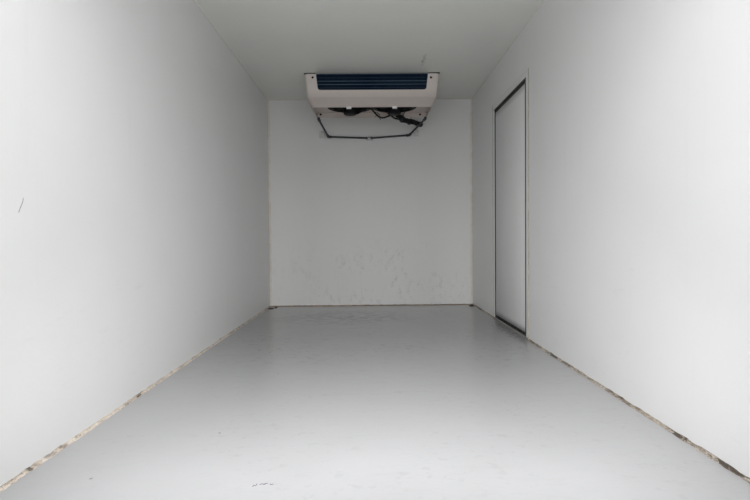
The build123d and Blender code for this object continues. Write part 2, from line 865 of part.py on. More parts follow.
def fan_rotor(base, tip_radius):
    """A hub with twisted blades, turning about the local z of its base plane."""
    with BuildPart(base) as rotor:
        Cylinder(fan_hub_radius, fan_hub_height)
        hub_rims = rotor.edges().filter_by(GeomType.CIRCLE)
        fillet(hub_rims, fan_hub_radius / 9)
        for number in range(fan_blade_count):
            turn = Location((0, 0, 0), (0, 0, 360 * number / fan_blade_count))
            sections = []
            stations = [
                (0.8 * fan_hub_radius, fan_blade_chord_root, fan_blade_pitch_root),
                (tip_radius, fan_blade_chord_tip, fan_blade_pitch_tip),
            ]
            for radius, chord, pitch in stations:
                outwards = Location((radius, 0, 0), (0, 90, 0))
                station = Plane(base.location * turn * outwards)
                with BuildSketch(station) as section:
                    Rectangle(fan_blade_thickness, chord, rotation=pitch)
                sections.append(section.sketch)
            loft(sections)
    return rotor


fan_level = ring_middle
motor_top = fan_level - fan_hub_height / 2 - motor_play
evaporator_fans = [
    fan_rotor(Plane(origin=(fan_x, fan_y, fan_level)), fan_ring_radius - fan_tip_gap)
    for fan_x in fan_places
]
evaporator_fan_left, evaporator_fan_right = evaporator_fans

# Fan motors, each hung in the middle of the guard under its fan
with BuildPart() as evaporator_motors:
    motor_bottom = unit_underside - motor_hang
    guard_level = fan_plate_level - guard_bar
    for fan_x in fan_places:
        rod((fan_x, fan_y, motor_bottom), (fan_x, fan_y, motor_top), motor_radius)
        bar_length = fan_ring_radius + guard_overhang
        for angle in (30, 150, 270):
            with Locations(Location((fan_x, fan_y, guard_level + guard_bar / 2), (0, 0, angle))):
                with Locations((bar_length / 2, 0, 0)):
                    Box(bar_length, 2 * guard_bar, guard_bar)
        for step in range(3):
            radius = fan_ring_radius - step * guard_hoop_pitch
            with BuildSketch(Plane.XY.offset(guard_level)) as hoop:
                with Locations((fan_x, fan_y)):
                    Circle(radius + guard_bar / 2)
                    Circle(radius - guard_bar / 2, mode=Mode.SUBTRACT)
            extrude(hoop.sketch, amount=guard_bar)
    motor_rims = evaporator_motors.edges().group_by(Axis.Z)[0]
    fillet(motor_rims, motor_hang / 2)

# Refrigerant pipes from the unit to the front wall
with BuildPart() as refrigerant_pipes:
    for step, radius in ((0, liquid_pipe_radius), (1, suction_pipe_radius)):
        pipe_x = unit_shift + pipe_from_middle - step * pipe_spread
        pipe_z = ceiling - pipe_drop
        rod((pipe_x, unit_front, pipe_z), (pipe_x, front_inner, pipe_z), radius)

# Drain: spigots at the unit's far corners, tubes to the front wall, elbows and a tee
drain_y = front_inner - drain_stand_off
spigot_z = unit_underside - drain_spigot_drop
left_spigot = Vector(unit_shift - spigot_reach, spigot_y, spigot_z)
right_spigot = Vector(unit_shift + spigot_reach, spigot_y, spigot_z)
left_corner = Vector(drain_left_corner[0], drain_y, ceiling - drain_left_corner[1])
tee = Vector(drain_tee[0], drain_y, ceiling - drain_tee[1])
right_corner = Vector(drain_right_corner[0], drain_y, ceiling - drain_right_corner[1])
drain_runs = [
    (left_spigot, left_corner),
    (left_corner, tee),
    (tee, right_corner),
    (right_corner, right_spigot),
]

with BuildPart() as drain_tubes:
    for start, end in drain_runs:
        along = (end - start).normalized()
        rod(start + along * fitting_sleeve, end - along * fitting_sleeve, drain_radius)

with BuildPart() as drain_fittings:
    for start, end in drain_runs:
        along = (end - start).normalized()
        rod(start, start + along * fitting_sleeve, fitting_radius)
        rod(end, end - along * fitting_sleeve, fitting_radius)
    with Locations(left_spigot, left_corner, tee, right_corner, right_spigot):
        Sphere(fitting_radius)
    for spigot in (left_spigot, right_spigot):
        rod(spigot, (spigot.X, spigot.Y, unit_underside), fitting_radius)
    for held in (left_corner, tee, right_corner):
        base_span = (held.Y, front_inner)
        block(ends(held.X, fitting_base), base_span, ends(held.Z, fitting_base))

# Wiring: a taped loom from the right-hand fan to the front wall, and the left-hand fan's lead


def bent_route(start, end, bends, unit):
    """Points from start to end. Each bend is a share of the way, then how far the route stands to
    the right, to the front and above the straight line there, in units."""
    points = [start]
    for share, right, ahead, above in bends:
        points.append(start + (end - start) * share + Vector(right, ahead, above) * unit)
    return [tuple(point) for point in [*points, end]]


wiring_level = unit_underside - motor_hang / 2
loom_start = Vector(fan_places[1] + motor_radius / 2, fan_y + 0.9 * motor_radius, wiring_level)
loom_end = Vector(
    loom_end_from_middle,
    front_inner - grommet_thickness,
    ceiling - loom_end_drop,
)
loom_bends = (
    (0.18, -0.8, 0, -1.0),
    (0.42, -0.7, 0, -1.2),
    (0.65, 0.1, 0, -1.0),
    (0.86, 0.5, 0, -0.6),
)
loom = hose(bent_route(loom_start, loom_end, loom_bends, loom_radius), loom_radius)

lead_start = Vector(fan_places[0] + motor_radius, fan_y, wiring_level)
lead_end = Vector(fan_places[1] - motor_radius / 2, fan_y + 0.8 * motor_radius, wiring_level)
lead_bends = (
    (0.15, 0, -8, 3.5),
    (0.3, 0, -20, 4),
    (0.43, 0, -25, 1),
    (0.57, 0, -24, -3.5),
    (0.7, 0, -20, -7),
    (0.87, 0, -9, -5),
)
left_lead = hose(bent_route(lead_start, lead_end, lead_bends, lead_radius), lead_radius)

with BuildPart() as fan_wiring:
    with Locations((loom_end.X, front_inner - grommet_thickness / 2, loom_end.Z)):
        Cylinder(grommet_radius, grommet_thickness, rotation=(90, 0, 0))
    add(loom.part)
    add(left_lead.part)

# Condenser unit on the front wall


def condenser_form(inset, mode):
    """Adds or cuts the condenser housing's form, its walls moved in by an inset."""
    sections = []
    radius = condenser_corner_radius - inset
    steps = [
        (0, condenser_width, condenser_height),
        (condenser_straight, condenser_width, condenser_height),
        (condenser_depth - inset, condenser_front_width, condenser_front_height),
    ]
    for forward, width, height in steps:
        with BuildSketch(across(front_outer + forward)) as section:
            with Locations((0, condenser_middle)):
                RectangleRounded(width - 2 * inset, height - 2 * inset, radius)
        sections.append(section.sketch)
    loft(sections, ruled=True, mode=mode)


condenser_fan_places = [side * condenser_fan_spread / 2 for side in (-1, 1)]

with BuildPart() as condenser_housing:
    condenser_form(0, Mode.ADD)
    condenser_form(condenser_skin, Mode.SUBTRACT)
    with BuildSketch(across(condenser_front)) as mouths:
        with Locations(*[(place, condenser_middle) for place in condenser_fan_places]):
            Circle(condenser_fan_radius)
    extrude(amount=2 * condenser_skin, mode=Mode.SUBTRACT)
    louvre_level = condenser_middle - condenser_height / 2 - condenser_skin
    with BuildSketch(Plane.XY.offset(louvre_level)) as louvres:
        with Locations((0, front_outer + condenser_straight / 2)):
            with GridLocations(2 * louvre_pitch, 0, louvre_count, 1):
                SlotOverall(louvre_length, louvre_width, rotation=90)
    extrude(amount=3 * condenser_skin, mode=Mode.SUBTRACT)

with BuildPart() as condenser_coil:
    coil_half = condenser_width / 2 - condenser_skin
    coil_y = (front_outer + condenser_coil_back, front_outer + condenser_coil_back + condenser_coil_depth)
    block((-coil_half, coil_half), coil_y, ends(condenser_middle, condenser_coil_height))

motor_face = condenser_front + guard_bar - condenser_motor_length
condenser_fan_y = motor_face - motor_play - fan_hub_height / 2
condenser_fans = [
    fan_rotor(
        Plane(
            origin=(place, condenser_fan_y, condenser_middle),
            x_dir=(1, 0, 0),
            z_dir=(0, -1, 0),
        ),
        condenser_fan_radius - fan_tip_gap,
    )
    for place in condenser_fan_places
]
condenser_fan_left, condenser_fan_right = condenser_fans

# The motors hang in the middle of their guards, in front of the fans
with BuildPart() as condenser_motors:
    guard_reach = condenser_fan_radius + guard_overhang
    for place in condenser_fan_places:
        rod(
            (place, motor_face, condenser_middle),
            (place, condenser_front + guard_bar, condenser_middle),
            condenser_motor_radius,
        )
        for angle in (0, 60, 120):
            with BuildSketch(across(condenser_front + guard_bar)) as spoke:
                with Locations((place, condenser_middle)):
                    Rectangle(2 * guard_reach, guard_bar, rotation=angle)
            extrude(spoke.sketch, amount=guard_bar)
        for step in range(3):
            radius = condenser_fan_radius - step * guard_hoop_pitch
            with BuildSketch(across(condenser_front + guard_bar)) as hoop:
                with Locations((place, condenser_middle)):
                    Circle(radius + guard_bar / 2)
                    Circle(radius - guard_bar / 2, mode=Mode.SUBTRACT)
            extrude(hoop.sketch, amount=guard_bar)

# Lamps, rubber buffers on the rear frame, and the rubber stops that the folded doors rest against


def lamp(base):
    """Adds a marker lamp that stands on a plane to the part being built."""
    with BuildSketch(base) as foot:
        SlotOverall(lamp_length, lamp_height)
    extrude(foot.sketch, amount=lamp_depth, taper=15)


with BuildPart() as marker_lamps:
    front_lamp_z = roof_top - corner_cap_drop - lamp_height
    rear_lamp_z = (rear_opening_top + skin_top + lamp_height) / 2
    side_lamp_z = rail_top + lamp_height
    for side in (-1, 1):
        front_place = (side * (skin_half - front_lamp_from_side), front_outer, front_lamp_z)
        rear_place = (side * (skin_half - rear_lamp_from_side), rear_face, rear_lamp_z)
        lamp(Plane(front_place, (1, 0, 0), (0, 1, 0)))
        lamp(Plane(rear_place, (1, 0, 0), (0, -1, 0)))
        for behind in side_lamps_behind_door:
            side_place = (side * half_outer, outer_flange_y[0] - behind, side_lamp_z)
            lamp(Plane(side_place, (0, 1, 0), (side, 0, 0)))

with BuildPart() as rubber_buffers:
    block(
        ends(skin_half - buffer_from_side, buffer_width),
        (rear_face - buffer_depth, rear_face),
        (bearer_height, bearer_height + buffer_height),
    )
    buffer_edges = rubber_buffers.faces().group_by(Axis.Y)[0].edges()
    fillet(buffer_edges, buffer_radius)
    stop_y = rear_leaf_start + rear_leaf_width - stop_from_edge / 2
    stop_end = rear_pin_x + rear_face_offset - leaf_stands_out
    for share in stop_levels:
        stop_z = rear_leaf_bottom + share * rear_leaf_height
        rod((half_outer, stop_y, stop_z), (stop_end, stop_y, stop_z), stop_radius)
    mirror(about=Plane.YZ)

pieces = {
    "floor_panel": floor_panel,
    "left_wall": left_wall,
    "right_wall": right_wall,
    "front_wall": front_wall,
    "roof_panel": roof_panel,
    "floor_sealant": floor_sealant,
    "bearers": bearers,
    "cross_members": cross_members,
    "mounting_brackets": mounting_brackets,
    "roof_rails": roof_rails,
    "front_corner_posts": front_corner_posts,
    "roof_corner_caps": roof_corner_caps,
    "side_rails": side_rails,
    "rear_frame": rear_frame,
    "hinge_brackets": hinge_brackets,
    "rubber_buffers": rubber_buffers,
    "side_door_frame": side_door_frame,
    "marker_lamps": marker_lamps,
    "evaporator_housing": evaporator_housing,
    "evaporator_hangers": evaporator_hangers,
    "evaporator_coil": evaporator_coil,
    "evaporator_motors": evaporator_motors,
    "evaporator_fan_left": evaporator_fan_left,
    "evaporator_fan_right": evaporator_fan_right,
    "refrigerant_pipes": refrigerant_pipes,
    "drain_tubes": drain_tubes,
    "drain_fittings": drain_fittings,
    "fan_wiring": fan_wiring,
    "condenser_housing": condenser_housing,
    "condenser_coil": condenser_coil,
    "condenser_motors": condenser_motors,
    "condenser_fan_left": condenser_fan_left,
    "condenser_fan_right": condenser_fan_right,
    "side_door_leaf": side_door_leaf,
    "side_door_seal": side_door_seal,
    "side_door_straps": side_door_straps,
    "side_door_lock": side_door_lock,
    "rear_door_left_leaf": rear_door_left_leaf,
    "rear_door_left_seal": rear_door_left_seal,
    "rear_door_left_straps": rear_door_left_straps,
    "rear_door_left_lock": rear_door_left_lock,
    "rear_door_right_leaf": rear_door_right_leaf,
    "rear_door_right_seal": rear_door_right_seal,
    "rear_door_right_straps": rear_door_right_straps,
    "rear_door_right_lock": rear_door_right_lock,
}

os.makedirs("parts", exist_ok=True)
for name, piece in pieces.items():
    piece.part.label = name
    export_step(piece.part, f"parts/{name}.step")
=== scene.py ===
# %% [markdown]
# # The load body of a refrigerated truck
#
# A refrigerated truck carries its load in a box of foam-cored panels. The photograph looks into
# such a box from its rear doorway: white walls, a glossy floor, a cooling unit under the ceiling
# and a side door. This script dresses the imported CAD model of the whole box. The frame stays as it
# is, and every finish and small part is added round it, in metres, in the same coordinates.

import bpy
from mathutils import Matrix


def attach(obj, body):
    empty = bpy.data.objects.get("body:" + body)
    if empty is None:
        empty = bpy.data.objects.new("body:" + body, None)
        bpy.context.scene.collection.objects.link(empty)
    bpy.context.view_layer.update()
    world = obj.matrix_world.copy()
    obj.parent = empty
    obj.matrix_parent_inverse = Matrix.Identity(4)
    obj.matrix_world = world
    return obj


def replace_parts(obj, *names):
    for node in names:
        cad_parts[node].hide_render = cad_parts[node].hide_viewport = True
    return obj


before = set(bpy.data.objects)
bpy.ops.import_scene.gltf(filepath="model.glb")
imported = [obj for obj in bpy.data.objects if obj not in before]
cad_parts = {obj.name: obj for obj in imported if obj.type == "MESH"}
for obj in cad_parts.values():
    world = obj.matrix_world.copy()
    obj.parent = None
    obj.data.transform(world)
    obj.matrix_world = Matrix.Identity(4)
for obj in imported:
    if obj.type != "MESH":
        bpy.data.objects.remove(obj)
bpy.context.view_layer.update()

# %% Tools that the cells share
import random
from math import ceil, cos, pi, radians, sin

import bmesh
import bpy
from mathutils import Matrix, Vector

X, Y, Z = range(3)
SIDES = (-1, 1)
LEFT, BACK, DOWN = (-1, 0, 0), (0, -1, 0), (0, 0, -1)
RIGHT, FORWARD, UP = (1, 0, 0), (0, 1, 0), (0, 0, 1)
scene = bpy.context.scene
print("Blender", bpy.app.version_string)

# %% [markdown]
# ## The camera
#
# The photograph has one vanishing point, and the four edges of the front wall give its distance.
# A 24 mm lens on a 36 mm sensor fits them. The camera stands just behind the open doorway, about
# 0.7 m above the floor of the box, and is turned, tipped and rolled by a degree or less. Its axes
# are worked out from those three angles, because a matrix keeps them without any rounding.

# %% Place the camera
CAMERA_PLACE = Vector((-0.0121, -3.1786, 1.0020))
CAMERA_YAW = radians(0.569)
CAMERA_DIP = radians(1.304)
CAMERA_ROLL = radians(0.491)
PHOTO_MIDDLE = (375, 250)
FOCAL_PIXELS = 500


def camera_axes(yaw, dip, roll):
    """The camera's right, up and backward directions."""
    forward = Vector((sin(yaw) * cos(dip), cos(yaw) * cos(dip), -sin(dip)))
    level_right = Vector((cos(yaw), -sin(yaw), 0))
    level_up = level_right.cross(forward)
    right = level_right * cos(roll) - level_up * sin(roll)
    up = level_right * sin(roll) + level_up * cos(roll)
    return right, up, -forward


CAMERA_AXES = camera_axes(CAMERA_YAW, CAMERA_DIP, CAMERA_ROLL)
camera_data = bpy.data.cameras.new("camera")
camera_data.lens = 24
camera_data.sensor_width = 36
camera_data.clip_start = 0.05
camera = bpy.data.objects.new("camera", camera_data)
scene.collection.objects.link(camera)
turn = Matrix(CAMERA_AXES).transposed()
camera.matrix_world = Matrix.Translation(CAMERA_PLACE) @ turn.to_4x4()
scene.camera = camera


def seen_at(column, line, axis, level):
    """Where a pixel of the photograph meets the plane on which an axis has that level."""
    right, up, back = CAMERA_AXES
    way = right * (column - PHOTO_MIDDLE[0]) + up * (PHOTO_MIDDLE[1] - line) - back * FOCAL_PIXELS
    return CAMERA_PLACE + way * ((level - CAMERA_PLACE[axis]) / way[axis])


print("camera at", tuple(round(value, 3) for value in CAMERA_PLACE))

# %% [markdown]
# ## A short way to write nodes
#
# Shader patterns are sums and products of a few fields, such as a noise or a height above the
# floor. Written as node after node they are long and hard to read. A small class wraps a socket so
# that Python's own operators add the Math nodes, and one method makes every other node: first its
# settings, then the values or links of its sockets. Geometry trees use the same method.


# %% Wrap a socket so that arithmetic adds nodes
class Signal:
    """One output socket. Arithmetic on it adds Math nodes to its tree."""

    def __init__(self, graph, socket):
        self.graph = graph
        self.socket = socket

    def math(self, operation, *terms, clamp=False):
        settings = {"operation": operation, "use_clamp": clamp}
        return self.graph.node("ShaderNodeMath", settings, dict(enumerate(terms)))

    def __add__(self, other):
        return self.math("ADD", self, other)

    def __sub__(self, other):
        return self.math("SUBTRACT", self, other)

    def __rsub__(self, other):
        return self.math("SUBTRACT", other, self)

    def __mul__(self, other):
        return self.math("MULTIPLY", self, other)

    def __truediv__(self, other):
        return self.math("DIVIDE", self, other)

    def __gt__(self, other):
        return self.math("GREATER_THAN", self, other)

    def __lt__(self, other):
        return self.math("LESS_THAN", self, other)

    def __abs__(self):
        return self.through("ABSOLUTE")

    def through(self, operation):
        """Sends the signal alone through an operation, such as a sine."""
        return self.math(operation, self)

    def clamped(self):
        return self.math("ADD", self, 0, clamp=True)

    def beside(self, output):
        """Another output of the same node."""
        return Signal(self.graph, self.socket.node.outputs[output])

    __radd__ = __add__
    __rmul__ = __mul__


class Graph:
    """A node tree that grows one node at a time."""

    def __init__(self, tree):
        self.tree = tree

    def node(self, kind, settings=None, values=None, take=0):
        """Makes a node, sets it, fills its sockets and returns one output as a Signal."""
        made = self.tree.nodes.new(kind)
        for name, value in (settings or {}).items():
            setattr(made, name, value)
        for key, value in (values or {}).items():
            self.fill(made.inputs[key], value)
        return Signal(self, made.outputs[take]) if made.outputs else made

    def fill(self, socket, value):
        """Links a signal to an input socket, or sets the socket to a plain value."""
        if isinstance(value, Signal):
            self.tree.links.new(value.socket, socket)
        else:
            socket.default_value = value


print("node tools ready")

# %% [markdown]
# ## A finish
#
# Every finish here is one Principled shader whose colour, roughness and bump come from patterns on
# Object coordinates. All pieces sit at the origin, so Object coordinates are the same as places in
# the body, in metres, and a pattern can be told where the floor or the front wall is.


# %% Describe a finish
def colour(red, green, blue):
    """A colour as it is read on a screen, from 0 to 255, made linear for Blender."""
    linear = []
    for value in (red, green, blue):
        share = value / 255
        linear.append(share / 12.92 if share <= 0.04045 else ((share + 0.055) / 1.055) ** 2.4)
    return (*linear, 1.0)


MIX_A = 6
MIX_B = 7
MIX_COLOUR = 2


class Finish(Graph):
    """A material with one Principled shader, and the patterns that feed it."""

    def __init__(self, name):
        self.material = bpy.data.materials.new(name)
        self.material.use_nodes = True
        super().__init__(self.material.node_tree)
        self.shader = self.tree.nodes["Principled BSDF"]
        self.place = self.node("ShaderNodeTexCoord", take="Object")
        self.x = self.node("ShaderNodeSeparateXYZ", None, {0: self.place})
        self.y, self.z = self.x.beside("Y"), self.x.beside("Z")

    def noise(self, scale, stretch=(1, 1, 1), detail=2, rough=0.5, shift=(0, 0, 0)):
        """A noise from 0 to 1. Scale is in lumps to the metre, and stretch multiplies it by axis."""
        values = {"Vector": self.place, "Location": shift, "Scale": stretch}
        mapped = self.node("ShaderNodeMapping", None, values)
        inputs = {"Vector": mapped, "Scale": scale, "Detail": detail, "Roughness": rough}
        return self.node("ShaderNodeTexNoise", None, inputs)

    def spots(self, scale):
        """The distance to the nearest of many scattered points, as a share of their spacing."""
        return self.node("ShaderNodeTexVoronoi", None, {"Vector": self.place, "Scale": scale})

    def between(self, signal, low, high):
        """0 below low, 1 above high, smooth between. A low above high turns it round."""
        values = {0: signal, 1: min(low, high), 2: max(low, high)}
        values.update({3: 0.0, 4: 1.0} if low < high else {3: 1.0, 4: 0.0})
        return self.node("ShaderNodeMapRange", {"interpolation_type": "SMOOTHSTEP"}, values)

    def patch(self, middle, size):
        """1 in the middle of an ellipse on the plan, 0 at its rim and beyond."""
        across = (self.x - middle[X]) / size[X]
        along = (self.y - middle[Y]) / size[Y]
        return (1 - (across * across + along * along)).clamped()

    def mix(self, share, first, second):
        """A colour between two, by a share from 0 to 1."""
        settings = {"data_type": "RGBA", "clamp_factor": True}
        values = {0: share, MIX_A: first, MIX_B: second}
        return self.node("ShaderNodeMix", settings, values, take=MIX_COLOUR)

    def bump(self, height, depth):
        """Tilts the surface by a pattern whose full height is depth, in metres."""
        values = {"Height": height, "Distance": depth}
        return self.set(Normal=self.node("ShaderNodeBump", None, values))

    def set(self, **sockets):
        """Sets the shader's own sockets. An underscore in a name stands for a space."""
        for name, value in sockets.items():
            self.fill(self.shader.inputs[name.replace("_", " ")], value)
        return self

    def stain(self, mask, tint):
        """Lays a tint, read from 0 to 255, over the colour that the finish has so far."""
        so_far = self.shader.inputs["Base Color"].links[0].from_socket
        return self.set(Base_Color=self.mix(mask, Signal(self, so_far), colour(*tint)))


print("finish tools ready")

# %% [markdown]
# ## Painted and gel-coated panels
#
# The panels are foam with a skin of glass-fibre plastic. Inside, the skin is an eggshell white
# that has greyed: faint mottling, thin upright streaks where it was wiped, and grey scuffs low
# down where pallets rub. Outside, it is a glossier white with a film of road dirt near the
# bottom. One node holds both skins, so the finish asks how far from the middle a point is.

# %% Make the panels' finish
HALF_INNER = 1.05
FLOOR_TOP = 0.31
CEILING = 2.43
FRONT_INNER = 1.982
FRAME_FRONT = -2.218
MIDDLE_OF_SIDE_WALL = 1.09
MIDDLE_OF_FRONT_WALL = 2.03
MIDDLE_OF_ROOF = 2.475
INSIDE_WHITE = (233, 233, 233)
OUTSIDE_WHITE = (233, 234, 233)


def inner_skin(finish, white):
    """The inside of a panel: mottled white with thin upright streaks, and rub marks low down."""
    white = colour(*white)
    mottle = finish.noise(3, detail=5, rough=0.6)
    base = finish.mix(mottle, [0.95 * c for c in white[:3]] + [1], white)
    streaks = finish.between(finish.noise(17, (1, 1, 0.06), detail=5, rough=0.7), 0.56, 0.8)
    base = finish.mix(streaks * 0.08, base, colour(178, 180, 178))
    rubs = finish.noise(7, (1, 1, 5), detail=6, rough=0.75, shift=(3, 1, 0))
    patches = finish.between(finish.noise(2.2, detail=3, shift=(0, 5, 2)), 0.48, 0.66)
    band = finish.between(finish.z, 1.2, 0.75) * finish.between(finish.z, 0.3, 0.42)
    mask = finish.between(rubs, 0.55, 0.72) * patches * band
    return finish.mix(mask * 0.1, base, colour(120, 120, 118))


def outer_skin(finish):
    """The outside of a panel: a clean white with a thin film of dirt low down."""
    film = finish.noise(5, (1, 1, 0.4), detail=5) * finish.between(finish.z, 0.9, 0.15)
    runs = finish.between(finish.noise(19, (1, 1, 0.05), detail=3), 0.62, 0.85)
    return finish.mix(film * 0.42 + runs * 0.1, colour(*OUTSIDE_WHITE), colour(150, 146, 138))


def panel_finish(name, outside, white=INSIDE_WHITE):
    """A panel's two skins. Outside is called with the finish and says how far out a point is."""
    skin = Finish(name)
    out = outside(skin)
    skin.set(Base_Color=skin.mix(out, inner_skin(skin, white), outer_skin(skin)))
    skin.set(Roughness=skin.noise(12, detail=3) * 0.16 + 0.36 - out * 0.06)
    return skin.bump(skin.noise(90, detail=2) * 0.7 + skin.noise(9, detail=1) * 0.3, 0.0006)


wall_skin = panel_finish("wall_skin", lambda f: abs(f.x) > MIDDLE_OF_SIDE_WALL)
print("panel finish", wall_skin.material.name)

# %% [markdown]
# Painted light makes the front wall lighter in its corners, and cartons have rubbed grey marks
# into the middle of it, below waist height. The ceiling is a little greener, with one dark smudge
# to the right of the cooling unit: a stretched spot, broken up by a noise. Each is one more stain
# on the panel finish.

# %% Stain the front wall and the ceiling
SMUDGE_PLACE = (0.432, 0.86)
SMUDGE_SIZE = (0.022, 0.17)

front_skin = panel_finish("front_skin", lambda f: f.y > MIDDLE_OF_FRONT_WALL, (223, 223, 222))
# Painted light: the front wall grows lighter towards both of its corners.
front_skin.stain(front_skin.between(abs(front_skin.x), 0.55, 1.0) * 0.6, (238, 238, 237))
rubbed = front_skin.noise(27, (1, 1, 0.65), detail=5, rough=0.7, shift=(1, 0, 2))
rubbed = front_skin.between(rubbed, 0.5, 0.68) * front_skin.between(front_skin.z, 1.1, 0.75)
patches = front_skin.between(front_skin.noise(3.1, detail=2), 0.38, 0.6)
mid_wall = front_skin.between(abs(front_skin.x - 0.12), 0.95, 0.4)
front_skin.stain(rubbed * patches * (mid_wall * 0.65 + 0.35) * 0.26, (134, 134, 133))

roof_skin = panel_finish("roof_skin", lambda f: f.z > MIDDLE_OF_ROOF, (234, 235, 229))
smudge = roof_skin.patch(SMUDGE_PLACE, SMUDGE_SIZE)
smudge = smudge * roof_skin.between(roof_skin.noise(60, detail=3), 0.42, 0.6)
roof_skin.stain(smudge * (roof_skin.z < MIDDLE_OF_ROOF) * 0.5, (70, 76, 84))
print("ceiling smudge at", SMUDGE_PLACE)

# %% [markdown]
# ## The floor
#
# The floor is a poured, rolled coat, cooler and glossier than the walls, so the front wall and the
# side door are seen in it. Fine grit, worn arcs and grey traffic marks show near the front wall,
# and dirt gathers at the side door's sill. Roughness carries much of this: a worn place loses its
# gloss before it changes colour.

# %% Make the floor's finish
SEAM_Y = 1.17
SEAM_HALF = 0.006
FLOOR_SPECKS = ((219.6, 433), (91, 478.6), (278, 374), (406.5, 348))

floor_skin = Finish("floor_skin")
mottle = floor_skin.noise(4, detail=5, rough=0.6)
floor_skin.set(Base_Color=floor_skin.mix(mottle, colour(160, 160, 161), colour(168, 168, 170)))
# Painted shade: the floor darkens smoothly towards the front wall, a little less at its foot. The
# same mask also spreads the worn marks.
shade_and_wear_near_front = floor_skin.between(floor_skin.y, -1.25, 0.75)
shade_eased_at_foot = floor_skin.between(floor_skin.y, 1.0, 1.8)
floor_skin.stain(shade_and_wear_near_front * (0.88 - shade_eased_at_foot * 0.2), (136, 136, 137))

stains = floor_skin.between(floor_skin.noise(23, detail=6, rough=0.65), 0.55, 0.66)
patches = floor_skin.between(floor_skin.noise(2.3, detail=2, shift=(3, 3, 0)), 0.4, 0.58)
onwards = floor_skin.between(floor_skin.y, -0.9, 0.4) * 0.45 + 0.12
floor_skin.stain(stains * patches * onwards, (96, 95, 93))

traffic = floor_skin.noise(9, (1, 2.6, 1), detail=7, rough=0.72)
worn = floor_skin.between(traffic, 0.5, 0.68) * (shade_and_wear_near_front * 0.5 + 0.1)
floor_skin.stain(worn, (133, 133, 134))
grit = floor_skin.between(floor_skin.spots(34), 0.05, 0.03)
grit = grit * floor_skin.between(floor_skin.noise(6, detail=2), 0.5, 0.62)
floor_skin.stain(grit * 0.5, (104, 100, 94))

seam = abs(floor_skin.y - SEAM_Y + floor_skin.noise(5) * 0.02) < SEAM_HALF
seam = seam * floor_skin.between(floor_skin.noise(7, shift=(4, 0, 0)), 0.35, 0.6)
floor_skin.stain(seam * 0.4, (168, 152, 130))
smears = floor_skin.between(floor_skin.noise(15, (1, 2, 1), detail=5), 0.45, 0.58)
floor_skin.stain(floor_skin.patch((-0.24, 1.22), (0.7, 0.45)) * smears * 0.75, (92, 92, 92))
for column, line in FLOOR_SPECKS:
    speck = seen_at(column, line, Z, FLOOR_TOP)
    floor_skin.stain(floor_skin.patch(speck.xy, (0.006, 0.007)), (96, 92, 86))
sill_dirt = floor_skin.between(floor_skin.noise(42, (1, 0.6, 1), detail=5), 0.5, 0.6)
floor_skin.stain(floor_skin.patch((1.01, 0.56), (0.1, 0.56)) * sill_dirt * 0.8, (78, 77, 76))

below = floor_skin.z < FLOOR_TOP - 0.02
floor_skin.stain(below, (92, 93, 92))
floor_skin.set(Roughness=mottle * 0.1 + worn * 0.25 + below * 0.3 + 0.3)
floor_skin.set(Coat_Weight=(1 - below) * (1 - worn) * 0.6, Coat_Roughness=0.11)
floor_skin.bump(floor_skin.noise(55, detail=2) + floor_skin.noise(6, detail=1) * 2, 0.0004)
print("floor finish", floor_skin.material.name)

# %% [markdown]
# ## Small finishes
#
# Sealant yellows and takes up dirt in flecks. Aluminium profiles are drawn, so their grain runs
# along them. Stainless steel is brushed, bearers and cross members are hot-dip galvanised, with
# the leaf-like spangle that zinc leaves. Rubber and plastic are matt, with a fine moulded grain.

# %% Make the sealant finishes


def plain_finish(name, dark, light, rough, grain, depth, stretch=(1, 1, 1), **sockets):
    """A finish whose colour and roughness drift a little over a fine grain."""
    made = Finish(name)
    drift = made.noise(grain / 9, stretch, detail=4, rough=0.6)
    fine = made.noise(grain, stretch, detail=3)
    made.set(Base_Color=made.mix(drift * 0.5 + fine * 0.5, colour(*dark), colour(*light)))
    made.set(Roughness=drift * 0.2 + rough - 0.1)
    return made.bump(fine, depth).set(**sockets)


def sealant_finish(name, light, tan, flecks):
    """A bead that has tanned in patches, more so towards the front, with dark flecks."""
    made = Finish(name)
    right = made.between(made.x, -0.2, 0.2) * 0.06
    coarse = made.noise(46, (1, 0.4, 1), detail=5, rough=0.7)
    fine = made.noise(130, (1, 0.4, 1), detail=4, rough=0.75)
    lumps = made.between(made.noise(4.5, detail=2, shift=(2, 0, 0)), 0.38, 0.6)
    greyed = made.between(made.x, 0.0, 0.3) * flecks
    patches = made.between(made.noise(14, detail=5), 0.35, 0.65)
    aged = patches * (made.between(made.y, -2.0, 1.6) * 0.5 + 0.5)
    dotted = made.between(fine + right, 0.5, 0.6) * (lumps * 0.35 + greyed * 0.3 + 0.28)
    dark = made.between(coarse + right, 0.52, 0.6) * lumps
    made.set(Base_Color=made.mix(aged, colour(*light), colour(*tan)), Roughness=0.62)
    made.stain(greyed * 0.45, (132, 124, 115))
    made.stain(dotted * flecks, (112, 100, 88))
    made.stain(dark * flecks, (72, 64, 56))
    return made.bump(made.noise(70, detail=3), 0.001)


floor_bead = sealant_finish("floor_bead", (222, 212, 200), (176, 162, 146), 0.9)
foot_bead = sealant_finish("foot_bead", (178, 160, 140), (134, 114, 96), 0.55)
door_bead = sealant_finish("door_bead", (184, 181, 174), (172, 162, 146), 0.12)
corner_bead = sealant_finish("corner_bead", (230, 227, 222), (224, 216, 206), 0.03)
print("sealant finishes made")

